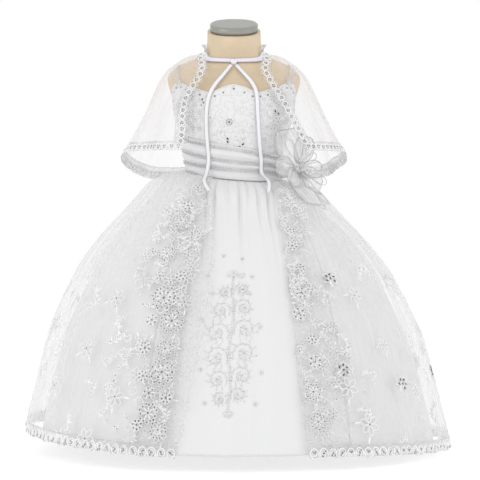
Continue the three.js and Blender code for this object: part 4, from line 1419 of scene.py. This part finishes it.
BORDER_RIGHT = rows(
    "across up size",
    (198, 188, 11),
    (188, 206, 12),
    (181, 221, 17),
    (192, 233, 9),
    (173, 230, 8),
    (153, 252, 9),
    (167, 254, 14),
    (181, 276, 12),
    (160, 276, 9),
    (164, 298, 22),
    (172, 321, 21),
    (152, 320, 11),
    (145, 348, 12),
    (165, 349, 13),
    (143, 376, 11),
    (162, 372, 22),
    (149, 393, 11),
    (166, 398, 12),
    (148, 413, 16),
    (137, 425, 12),
    (158, 430, 14),
)

BORDER_LEFT = rows(
    "across up size",
    (266, 207, 11),
    (273, 226, 18),
    (290, 230, 11),
    (272, 247, 18),
    (292, 246, 12),
    (300, 268, 11),
    (282, 291, 20),
    (301, 293, 11),
    (299, 314, 12),
    (289, 338, 22),
    (312, 340, 11),
    (315, 362, 12),
    (294, 370, 18),
    (293, 396, 20),
    (313, 392, 13),
    (301, 417, 18),
    (318, 422, 13),
    (304, 436, 13),
)


def photo_point(x, y):
    """A place in the photograph, in its pixels, as x and z of the plane through the axis."""
    return (x - PHOTO_AXIS) * PHOTO_PIXEL, (PHOTO_FLOOR - y) * PHOTO_PIXEL + FLOOR_OFFSET


def build_embroidery(settings):
    """The borders' blossoms and small motifs, and the scattered ones on the rest of the skirt."""
    random.seed(settings.seed)
    wide = [medallion(20, petals) for petals in (7, 8, 9)]
    middle = [medallion(15, petals, False) for petals in (6, 7)]
    small = [small_blossom(radius) for radius in (10, 11, 12)]
    tendril = tendril_drawing()
    bud = bud_drawing()
    open_flower = open_flower_drawing()
    spray = spray_drawing()
    dark = dark_flower_drawing()
    for wearer, places in (("right", BORDER_RIGHT), ("left", BORDER_LEFT)):
        tree = tree_of(f"organza_{wearer}")
        work = Needlework()
        for row in places:
            x, z = photo_point(row["across"], row["up"])
            spot, normal = seen(tree, x, z)
            if spot is None:
                continue
            if row["size"] > 16:
                kinds, whole = wide, 21
            elif row["size"] > 12:
                kinds, whole = middle, 15
            else:
                kinds, whole = small, 11
            blossom = random.choice(kinds)
            work.sew(blossom, flat_at(spot, normal, random.uniform(0, 50), row["size"] / whole))
        sign = 1 if wearer == "left" else -1
        for number in range(settings.fillers):
            down = random.random()
            front = lerp(258, 288, down) if sign > 0 else lerp(212, 164, down)
            reach = sign * (4 + random.random() ** 1.4 * lerp(34, 92, down))
            spot, normal = seen(tree, *photo_point(front + reach, lerp(190, 436, down)))
            if spot is not None:
                filler = (tendril, bud, bud, open_flower, spray)[number % 5]
                size = random.uniform(0.6, 1)
                work.sew(filler, flat_at(spot, normal, random.uniform(0, 360), size))
        work.lay_on(tree).pieces(f"border_{wearer}")
        vines = Needlework()
        for step in range(12):
            for level in range(4):
                angle = sign * (26 + 13 * step + 5 * level + random.uniform(-4, 4))
                height = 50 + 85 * level + random.uniform(-30, 30)
                spot, normal = seen_round(tree, angle, height)
                if spot is not None:
                    turn = random.uniform(-70, 70)
                    kind = spray if level % 2 == step % 2 else open_flower
                    vines.sew(kind, flat_at(spot, normal, turn, random.uniform(0.8, 1.3)))
        vines.lay_on(tree).pieces(f"vines_{wearer}")
    sew_stones(dark, spray)


def sew_stones(flower, spray):
    """Flowers and single stones that are darker than the rest."""
    tree = tree_of("organza_left")
    work = Needlework()
    for x, y, turn in ((343, 370, 10), (402, 384, 40), (330, 279, 70)):
        spot, normal = seen(tree, *photo_point(x, y))
        work.sew(flower, flat_at(spot, normal, turn, 0.8))
        work.sew(spray, flat_at(spot, normal, turn + 60, 0.9))
    for angle, height in ((75, 150), (118, 260), (140, 120), (165, 210)):
        spot, normal = seen_round(tree, angle, height)
        work.sew(flower, flat_at(spot, normal, angle, 0.8))
    work.lay_on(tree).pieces("dark_flower", glints="stones")


def scroll_points(side, height, size):
    """A stitch line that leaves the stem upwards and curls over and in on itself."""
    points = []
    for i in range(25):
        share = i / 24
        a = math.radians(215 - 470 * share)
        reach = size * (1 - 0.66 * share**0.8)
        points.append((side * (3 + size + reach * math.cos(a)), height + reach * math.sin(a)))
    return points


def build_branch(settings):
    """The scrolling branch down the middle of the satin."""
    random.seed(settings.branch_seed)
    tree = tree_of("satin_front")
    work = Needlework()
    stem = [(2.4 * math.sin(0.05 * (y + 120)), y) for y in range(-126, 122, 5)]
    work.line(stem, 1.3)
    dots = [(x + side, y) for x, y in stem for side in (-2.2, 2.2)]
    scrolls = rows(
        "height size",
        (-104, 15),
        (-70, 19),
        (-30, 22),
        (14, 22),
        (56, 18),
        (90, 13),
    )
    for row in scrolls:
        for side in (-1, 1):
            height = row["height"] + 4 * side
            curl = scroll_points(side, height, row["size"])
            work.line(curl, 1.0)
            dots += curl[1:-1:2]
            middle = (side * (3 + row["size"]), height)
            for i in range(2, 19, 2):
                x, y = curl[i]
                out = math.degrees(math.atan2(x - middle[0], y - middle[1]))
                size = random.uniform(6, 8.5) * row["size"] / 20
                work.leaf(x, y, out - 30 * side, size, 2.4)
                work.leaf(x, y, out + 150 * side, 0.5 * size, 2.0)
                a = math.radians(out - 30 * side)
                dots.append((x + (size + 1.6) * math.sin(a), y + (size + 1.6) * math.cos(a)))
            x, y = middle
            for k in range(6):
                a = math.radians(60 * k)
                work.leaf(x + 1.5 * math.sin(a), y + 1.5 * math.cos(a), 60 * k, 0.34 * row["size"], 2.6)
            dots.append((x, y))
    for k in range(9):
        a = math.radians(-72 + 18 * k)
        work.leaf(3 * math.sin(a), 116 + 3 * math.cos(a), math.degrees(a), 13, 3.2)
        dots.append((18 * math.sin(a), 116 + 18 * math.cos(a)))
        work.leaf(3 * math.sin(a), -128 - 3 * math.cos(a), 180 - math.degrees(a), 10, 3.0)
    for x, y in dots:
        work.sequin(x, y, 0.75, 1.2, sides=6)
    across, down = settings.branch_across, settings.branch_down
    spot, normal = seen(tree, *photo_point(across, down))
    whole = Needlework()
    whole.sew(work.drawing(), flat_at(spot, normal))
    star = Needlework().sequin(0, 0, 1.7)
    for k in range(5):
        star.leaf(0, 0, 72 * k, 5, 1.4)
    star = star.drawing()
    stars = ((-34, 84), (-44, 118), (-14, 156), (22, 150), (40, 116), (36, 84), (-56, 34), (56, 20))
    for x, y in stars + ((-50, -124), (46, -126), (-58, -60), (58, -66)):
        spot, normal = seen(tree, *photo_point(across + x / PHOTO_PIXEL, down - y / PHOTO_PIXEL))
        if spot is not None:
            whole.sew(star, flat_at(spot, normal, 9 * x))
    whole.lay_on(tree).pieces("branch", thread="silver", glints="studs")


# The cape and its ribbons


def build_cape(settings):
    """The sheer cape and the ringed lace along its hem and its front edges."""
    obj = piece("sheer_cape", grid(cape_place, 220, 64), "organza", LOOKS["tulle"], ["cape_tulle"])
    thicken(obj, 0.25)
    outer = raised(cape_place, 0.9)
    count = settings.cape_motifs

    def hem(u, v):
        wave = 0.02 * abs(math.sin(math.pi * count * u)) ** 0.6
        return outer(u, lerp(0.925, 1.0 + wave, v))

    obj = piece("cape_lace_hem", grid(hem, count * 6, 5), "lace", LOOKS["net"], ["cape_hem_lace"])
    thicken(obj, 0.4)
    motif = Needlework()
    motif.ring(0, 0.4, 5.6, 1.9, 1.0, steps=10)
    motif.leaf(-3.4, -5, 215, 3.6, 2)
    motif.leaf(0, -5.6, 180, 4, 2)
    motif.leaf(3.4, -5, 145, 3.6, 2)
    for x, y in ((-1.7, 2.2), (1.9, 2), (0, -1.9)):
        motif.sequin(x, y, 1.15)
    ring = motif.drawing()
    random.seed(settings.seed)
    tree = tree_of("cape_lace_hem")
    work = Needlework()
    for i in range(count):
        spot, normal, _, _ = tree.find_nearest(hem((i + 0.5) / count, 0.5))
        work.sew(ring, flat_at(spot, normal, random.uniform(-9, 9)))
    work.lay_on(tree).pieces("cape_hem_rings")
    for name, side in (("left", 0), ("right", 1)):

        def edge(u, v, side=side):
            down = lerp(0.11, 0.955, v)
            size = smooth(CAPE, "along", down, "half_width") + smooth(CAPE, "along", down, "half_depth")
            width = 13 / (2.4 * size)
            front = -(0.001 + 0.008 * abs(math.sin(math.pi * 16 * v)) ** 0.6)
            share = lerp(front, width, u) if side == 0 else 1 - lerp(width, front, u)
            return raised(cape_place, 1.6)(share, down)

        label = f"cape_lace_edge_{name}"
        obj = piece(label, grid(edge, 4, 96), "lace", LOOKS["net"], [f"cape_edge_lace_{name}"])
        thicken(obj, 0.4)
        tree = tree_of(label)
        work = Needlework()
        for i in range(16):
            spot, normal, _, _ = tree.find_nearest(edge(0.5, (i + 0.5) / 16))
            work.sew(ring, flat_at(spot, normal, random.uniform(0, 360), 0.95))
        work.lay_on(tree).pieces(f"cape_edge_rings_{name}")


def build_ribbons(width):
    """The neck ribbon, its frill, the knot and the two free tails."""

    def band(u, v):
        angle = 360 * u
        height = ribbon_height(angle) + lerp(width / 2, -width / 2, v)
        return body_point(angle, height) + body_normal(angle, height) * (3 + 0.5 * math.sin(9 * u) ** 2)

    bm = grid(band, 120, 4, ring=True)
    obj = piece("satin_neck_ribbon", bm, "ribbon", LOOKS["ribbon"], ["neck_ribbon"])
    thicken(obj, 0.6)

    def frill(u, v):
        angle = lerp(40, 320, u)
        foot = body_point(angle, ribbon_height(angle) + width / 2 + 1.4, 2.6)
        out = body_normal(angle, foot.z)
        out.z = 0
        end = ease(min(u, 1 - u), 0, 0.12)
        wave = 2.6 * math.sin(2 * math.pi * 26 * u) + 1.2 * math.sin(2 * math.pi * 9.3 * u)
        scallop = 1.5 * abs(math.sin(2 * math.pi * 26 * u))
        up = (1 - v) * lerp(0.35, 1, end)
        return foot + out.normalized() * (up * (4.5 + wave)) + Vector((0, 0, up * (9 + scallop)))

    obj = piece("lace_neck_frill", grid(frill, 240, 5), "lace", LOOKS["net"], ["neck_frill"])
    thicken(obj, 0.4)
    for name, route in (("left", LEFT_TAIL), ("right", RIGHT_TAIL)):
        knots = [clear_of_skirt(front_point(row), 7) for row in route]
        points = []
        for i in range(len(knots) - 1):
            around = [knots[clamp(i + k, 0, len(knots) - 1)] for k in (-1, 0, 1, 2)]
            points += [curve_through(around, s / 6) for s in range(6)]
        points.append(knots[-1])
        path = []
        for i, point in enumerate(points):
            way = (points[min(i + 1, len(points) - 1)] - points[max(i - 1, 0)]).normalized()
            across = (Vector((1, 0, 0)) - way * way.x).normalized()
            path.append((point, way.cross(across).normalized()))
        strip = grid(strip_place(path, TAIL_WIDTH), 4, 90)
        obj = piece(f"satin_tail_{name}", strip, "ribbon", LOOKS["tail"], [f"ribbon_tail_{name}"])
        thicken(obj, 0.6)
    front = body_point(0, ribbon_height(0))
    bm = bmesh.new()
    centre = Vector((front.x, front.y - 9, front.z - 2))
    bmesh.ops.create_uvsphere(bm, u_segments=24, v_segments=14, radius=1)
    for vert in bm.verts:
        ridge = 1 + 0.09 * math.sin(7 * vert.co.x + 3 * vert.co.z)
        vert.co = centre + Vector((6.5 * vert.co.x * ridge, 4.2 * vert.co.y * ridge, 5.5 * vert.co.z))
    piece("tied_knot", bm, "ribbon", LOOKS["knot"], ["ribbon_knot"])


def curve_through(around, s):
    """A smooth curve between the middle two of four points."""
    a, b, c, d = around
    return 0.5 * (
        2 * b + (c - a) * s + (2 * a - 5 * b + 4 * c - d) * s * s + (3 * b - a - 3 * c + d) * s**3
    )


# The hip flower


def flower_axes():
    up = (Vector((0, 0, 1)) - FLOWER_FACING * FLOWER_FACING.z).normalized()
    return up, up.cross(FLOWER_FACING).normalized()


def petal_place(row):
    up, sideways = flower_axes()
    turn = math.radians(row["turn"])
    along = up * math.cos(turn) + sideways * math.sin(turn)
    across = along.cross(FLOWER_FACING)
    rise = math.radians(row["rise"])

    def place(u, v):
        v = max(v, 0)
        reach = row["foot"] + row["length"] * v * math.cos(rise)
        half = row["width"] / 2 * (0.12 + 0.88 * math.sin(math.pi * (0.04 + 0.78 * v**0.8)))
        curl = row["cup"] * (2 * u - 1) ** 2 * math.sin(math.pi * v)
        ruffle = 1.5 * math.sin(11 * u + row["turn"]) * v + 1.1 * math.sin(27 * u + row["turn"]) * (1 - v)
        height = row["root"] + row["length"] * v * math.sin(rise) - 7 * v * v + curl + ruffle
        point = FLOWER_HEART + along * reach + across * ((2 * u - 1) * half)
        return clear_of_skirt(point + FLOWER_FACING * height, 4 + 0.5 * row["root"])

    return place


def loop_points(row):
    """A long loop of wire that starts and ends at the flower's heart."""
    up, sideways = flower_axes()
    turn = math.radians(row["turn"])
    along = up * math.cos(turn) + sideways * math.sin(turn)
    across = along.cross(FLOWER_FACING)
    points = []
    for i in range(33):
        a = 2 * math.pi * i / 32
        reach = 8 + row["reach"] * (0.5 - 0.5 * math.cos(a))
        side = 0.5 * row["width"] * math.sin(a) * (0.55 - 0.45 * math.cos(a))
        point = FLOWER_HEART + along * reach + across * side + FLOWER_FACING * row["rise"]
        points.append(clear_of_skirt(point, 5))
    return points


def add_wire(wires, points, radius):
    mesh = bpy.data.meshes.new("wire")
    wire = tube(points, radius, 5)
    wire.to_mesh(mesh)
    wire.free()
    wires.from_mesh(mesh)
    bpy.data.meshes.remove(mesh)


def build_flower(settings):
    """The organza flower on the hip: petals, wires, sequined leaves, beads and streamers."""
    wires = bmesh.new()
    for row in PETALS:
        place = petal_place(row)
        name = row["name"]
        obj = piece(f"petal_{name}", grid(place, 14, 16), "organza", LOOKS["petal"], [f"flower_{name}"])
        thicken(obj, 0.35)
        rim = [place(0, s / 12) for s in range(13)] + [place(s / 12, 1) for s in range(1, 13)]
        rim += [place(1, 1 - s / 12) for s in range(1, 13)]
        add_wire(wires, rim, 0.55)
    for row in WIRE_LOOPS:
        add_wire(wires, loop_points(row), 0.5)
    piece("petal_wires", wires, "organza", LOOKS["wire"])
    random.seed(settings.seed)
    for row in LEAVES:
        build_leaf(row)
    build_heart()
    dress_node("flower_stalk", "satin")
    build_streamers()


def build_leaf(row):
    """Three rows of sequins that narrow towards both ends of the leaf."""
    up, sideways = flower_axes()
    turn = math.radians(row["turn"])
    along = up * math.cos(turn) + sideways * math.sin(turn)
    across = along.cross(FLOWER_FACING)
    rise = math.radians(row["rise"])
    facing = (FLOWER_FACING + along * -0.6).normalized().to_track_quat("Z", "Y")
    facing = facing.to_matrix().to_4x4()
    bm = bmesh.new()
    for i in range(9):
        v = (i + 0.5) / 9
        half = row["width"] / 2 * math.sin(math.pi * (0.1 + 0.8 * v))
        out = 8.8 + row["length"] * v * math.cos(rise)
        height = 14 + row["length"] * v * math.sin(rise) - 7 * v * v
        middle = FLOWER_HEART + along * out + FLOWER_FACING * height
        for k in (-1, 0, 1):
            spot = middle + across * (0.66 * k * half)
            nod = Matrix.Rotation(random.uniform(-0.5, 0.5), 4, "X")
            roll = Matrix.Rotation(random.uniform(-0.5, 0.5), 4, "Y")
            matrix = Matrix.Translation(spot) @ facing @ nod @ roll
            bmesh.ops.create_circle(bm, cap_ends=True, segments=8, radius=2.1, matrix=matrix)
    piece("leaf_sequins_" + row["name"][-1], bm, "beads", LOOKS["beads"], ["flower_" + row["name"]])


def build_heart():
    """A ball of beads, spread evenly by turning each one further round than the last."""
    bm = bmesh.new()
    centre = FLOWER_HEART + FLOWER_FACING * 16
    count = 60
    for i in range(count):
        share = (i + 0.5) / count
        ring = math.sqrt(1 - (1 - 2 * share) ** 2)
        turn = 2.4 * i
        way = Vector((ring * math.cos(turn), ring * math.sin(turn), 1 - 2 * share))
        at = Matrix.Translation(centre + way * 6.6)
        bmesh.ops.create_icosphere(bm, subdivisions=2, radius=1.7, matrix=at)
    piece("heart_beads", bm, "beads", LOOKS["beads"], ["flower_heart"])


def build_streamers():
    """Two narrow ribbons that lie on the skirt below the flower."""
    surface = raised(overlay_place("right"), 1.6)
    for row in STREAMERS:

        def place(u, v, row=row):
            across = lerp(row["u0"], row["u1"], v) + row["bend"] * math.sin(math.pi * v)
            return surface(across + lerp(-0.004, 0.004, u), lerp(row["v0"], row["v1"], v))

        number = row["number"]
        strip = grid(place, 3, 40)
        name = f"narrow_streamer_{number}"
        obj = piece(name, strip, "ribbon", LOOKS["petal"], [f"flower_streamer_{number}"])
        thicken(obj, 0.4)


# Stage


def build_floor(glow):
    """A pale round floor."""
    bm = bmesh.new()
    bmesh.ops.create_circle(bm, cap_ends=True, segments=96, radius=14)
    mesh = bpy.data.meshes.new("floor")
    bm.to_mesh(mesh)
    bm.free()
    floor = bpy.data.objects.new("floor", mesh)
    made = material("floor", (0.45, 0.45, 0.45), 0.9)
    shader = made.node_tree.nodes["Principled BSDF"]
    shader.inputs["Emission Color"].default_value = (1, 1, 1, 1)
    shader.inputs["Emission Strength"].default_value = glow
    mesh.materials.append(made)
    bpy.context.scene.collection.objects.link(floor)


def build_lights(world_strength, key):
    """Even light from all round, with a soft lamp on each side."""
    world = bpy.data.worlds.new("studio")
    world.use_nodes = True
    backdrop = world.node_tree.nodes["Background"]
    backdrop.inputs["Color"].default_value = (1, 1, 1, 1)
    backdrop.inputs["Strength"].default_value = world_strength
    bpy.context.scene.world = world
    lamps = rows(
        "name place size energy",
        ("key", (-2.2, -2.6, 2.4), 1.8, key),
        ("fill", (2.8, -1.6, 1.2), 2.2, key * 0.25),
    )
    for row in lamps:
        lamp = bpy.data.lights.new(row["name"], "AREA")
        lamp.energy = row["energy"]
        lamp.size = row["size"]
        obj = bpy.data.objects.new(row["name"], lamp)
        obj.location = row["place"]
        aim = Vector((0, 0, 0.4)) - Vector(row["place"])
        obj.rotation_euler = aim.to_track_quat("-Z", "Y").to_euler()
        bpy.context.scene.collection.objects.link(obj)


def build_camera(focal_length):
    """The camera at the photograph's viewing angle."""
    lens = bpy.data.cameras.new("camera")
    lens.sensor_width = 36
    lens.lens = focal_length
    camera = bpy.data.objects.new("camera", lens)
    camera.location = PHOTO_EYE * MILLIMETRE
    camera.rotation_euler = (math.radians(90), 0, 0)
    bpy.context.scene.collection.objects.link(camera)
    bpy.context.scene.camera = camera


def build_stage(settings):
    """Floor, light and camera, with enough bounces for the many sheer layers."""
    build_floor(settings.floor_glow)
    build_lights(settings.world, settings.key)
    build_camera(settings.lens)
    scene = bpy.context.scene
    scene.view_settings.view_transform = "Standard"
    scene.cycles.transparent_max_bounces = 48
    scene.cycles.diffuse_bounces = 8


# The add-on


def colour_property(name, description, default):
    return FloatVectorProperty(
        name=name, description=description, default=default, subtype="COLOR", size=3, min=0, max=1
    )


class GownColourSettings(bpy.types.PropertyGroup):
    """The colours of cloth, ribbon, linen and metal."""

    satin: colour_property("Satin", "Colour of the skirt and the sash", (0.79, 0.79, 0.795))
    organza: colour_property("Organza", "Colour of the sheer skirt", (0.97, 0.97, 0.973))
    tulle: colour_property("Tulle", "Colour of the cape", (0.99, 0.965, 0.975))
    ribbon: colour_property("Ribbon", "Colour of the neck ribbon", (0.83, 0.81, 0.89))
    tails: colour_property("Ribbon tails", "Colour of the ribbon's free tails", (0.86, 0.855, 0.885))
    linen: colour_property("Linen", "Colour of the dress form", (0.76, 0.62, 0.44))
    metal: colour_property("Metal", "Colour of the neck cap", (0.34, 0.34, 0.31))


class GownFormSettings(bpy.types.PropertyGroup):
    """How the dress form and the plain cloth are drawn."""

    sides: IntProperty(name="Sides", description="Points round the form", default=96, min=24, max=200)
    satin_thickness: FloatProperty(
        name="Satin thickness", description="Thickness of satin in millimetres", default=0.7, min=0.2
    )
    organza_thickness: FloatProperty(
        name="Organza thickness", description="Thickness of organza in millimetres", default=0.3, min=0.1
    )
    ribbon_width: FloatProperty(
        name="Ribbon width", description="Width of the neck ribbon in millimetres", default=9.0, min=4
    )


class GownLaceSettings(bpy.types.PropertyGroup):
    """How lace, embroidery and beads are laid out."""

    seed: IntProperty(name="Seed", description="Start of the small irregularities", default=7)
    motifs: IntProperty(name="Hem motifs", description="Rings on each half of the hem", default=66, min=8)
    cape_motifs: IntProperty(name="Cape motifs", description="Rings round the cape", default=84, min=8)
    fillers: IntProperty(name="Small motifs", description="Small motifs beside each border", default=150)
    pitch: FloatProperty(name="Bead pitch", description="Millimetres from bead to bead", default=3.1, min=2)
    branch_seed: IntProperty(name="Branch seed", description="Start of the branch's leaves", default=3)
    branch_across: FloatProperty(
        name="Branch across", description="Pixel column of its middle", default=231, subtype="PIXEL"
    )
    branch_down: FloatProperty(
        name="Branch down", description="Pixel row of its middle", default=338, subtype="PIXEL"
    )


class GownStageSettings(bpy.types.PropertyGroup):
    """Camera and lights."""

    lens: FloatProperty(name="Lens", description="Focal length", default=138.2, unit="CAMERA")
    world: FloatProperty(name="World", description="Strength of the even light", default=1.0, min=0)
    key: FloatProperty(name="Key", description="Power of the main lamp", default=9.0, unit="POWER")
    floor_glow: FloatProperty(name="Floor glow", description="Light that the floor adds", default=0.62)


class GOWN_OT_looks(bpy.types.Operator):
    """Mixes the materials of cloth, thread, metal and beads"""

    bl_idname = "gown.looks"
    bl_label = "Materials"

    def execute(self, context):
        make_looks(context.scene.gown_colours)
        return {"FINISHED"}


class GOWN_OT_form(bpy.types.Operator):
    """Builds the linen dress form and its metal parts"""

    bl_idname = "gown.form"
    bl_label = "Dress form"

    def execute(self, context):
        build_form(context.scene.gown_form.sides)
        return {"FINISHED"}


class GOWN_OT_bodice(bpy.types.Operator):
    """Builds the bodice with its straps, lace and stones"""

    bl_idname = "gown.bodice"
    bl_label = "Bodice"

    def execute(self, context):
        build_bodice(context.scene.gown_lace)
        return {"FINISHED"}


class GOWN_OT_sash(bpy.types.Operator):
    """Builds the pleated sash and its rows of beads"""

    bl_idname = "gown.sash"
    bl_label = "Sash"

    def execute(self, context):
        build_sash(context.scene.gown_lace)
        return {"FINISHED"}


class GOWN_OT_satin(bpy.types.Operator):
    """Builds the satin panels of the skirt"""

    bl_idname = "gown.satin"
    bl_label = "Satin skirt"

    def execute(self, context):
        build_satin(context.scene.gown_form.satin_thickness)
        return {"FINISHED"}


class GOWN_OT_organza(bpy.types.Operator):
    """Builds the two halves of the sheer skirt"""

    bl_idname = "gown.organza"
    bl_label = "Organza skirt"

    def execute(self, context):
        build_organza(context.scene.gown_form.organza_thickness)
        return {"FINISHED"}


class GOWN_OT_front_lace(bpy.types.Operator):
    """Builds the net down the skirt's front edges"""

    bl_idname = "gown.front_lace"
    bl_label = "Front lace"

    def execute(self, context):
        build_front_lace()
        return {"FINISHED"}


class GOWN_OT_hem_lace(bpy.types.Operator):
    """Builds the ringed lace round the skirt's hem"""

    bl_idname = "gown.hem_lace"
    bl_label = "Hem lace"

    def execute(self, context):
        build_hem_lace(context.scene.gown_lace)
        return {"FINISHED"}


class GOWN_OT_embroidery(bpy.types.Operator):
    """Sews blossoms, small motifs and dark flowers on the organza"""

    bl_idname = "gown.embroidery"
    bl_label = "Embroidery"

    def execute(self, context):
        build_embroidery(context.scene.gown_lace)
        return {"FINISHED"}


class GOWN_OT_branch(bpy.types.Operator):
    """Sews the scrolling branch on the satin"""

    bl_idname = "gown.branch"
    bl_label = "Branch"

    def execute(self, context):
        build_branch(context.scene.gown_lace)
        return {"FINISHED"}


class GOWN_OT_cape(bpy.types.Operator):
    """Builds the sheer cape and its lace"""

    bl_idname = "gown.cape"
    bl_label = "Cape"

    def execute(self, context):
        build_cape(context.scene.gown_lace)
        return {"FINISHED"}


class GOWN_OT_ribbons(bpy.types.Operator):
    """Builds the tied ribbon, its frill and its tails"""

    bl_idname = "gown.ribbons"
    bl_label = "Ribbons"

    def execute(self, context):
        build_ribbons(context.scene.gown_form.ribbon_width)
        return {"FINISHED"}


class GOWN_OT_flower(bpy.types.Operator):
    """Builds the organza flower on the hip"""

    bl_idname = "gown.flower"
    bl_label = "Hip flower"

    def execute(self, context):
        build_flower(context.scene.gown_lace)
        return {"FINISHED"}


class GOWN_OT_stage(bpy.types.Operator):
    """Builds the floor, the lights and the camera"""

    bl_idname = "gown.stage"
    bl_label = "Stage"

    def execute(self, context):
        build_stage(context.scene.gown_stage)
        return {"FINISHED"}


GROUPS = {
    "gown_colours": GownColourSettings,
    "gown_form": GownFormSettings,
    "gown_lace": GownLaceSettings,
    "gown_stage": GownStageSettings,
}

STEPS = (
    GOWN_OT_looks,
    GOWN_OT_form,
    GOWN_OT_bodice,
    GOWN_OT_sash,
    GOWN_OT_satin,
    GOWN_OT_organza,
    GOWN_OT_front_lace,
    GOWN_OT_hem_lace,
    GOWN_OT_embroidery,
    GOWN_OT_branch,
    GOWN_OT_cape,
    GOWN_OT_ribbons,
    GOWN_OT_flower,
    GOWN_OT_stage,
)


class GOWN_PT_panel(bpy.types.Panel):
    """The steps that build the gown, in order, and their sizes and colours."""

    bl_label = "Christening gown"
    bl_idname = "GOWN_PT_panel"
    bl_space_type = "VIEW_3D"
    bl_region_type = "UI"
    bl_category = "Gown"

    def draw(self, context):
        for step in STEPS:
            self.layout.operator(step.bl_idname)
        for name in GROUPS:
            group = getattr(context.scene, name)
            for key in group.__annotations__:
                self.layout.prop(group, key)


def register():
    for group in (*GROUPS.values(), *STEPS, GOWN_PT_panel):
        bpy.utils.register_class(group)
    for name, group in GROUPS.items():
        setattr(bpy.types.Scene, name, PointerProperty(type=group))


def unregister():
    for name in GROUPS:
        delattr(bpy.types.Scene, name)
    for group in reversed((*GROUPS.values(), *STEPS, GOWN_PT_panel)):
        bpy.utils.unregister_class(group)


def main():
    register()
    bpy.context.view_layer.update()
    for step in STEPS:
        getattr(bpy.ops.gown, step.bl_idname.split(".")[1])()


if __name__ == "__main__":
    main()
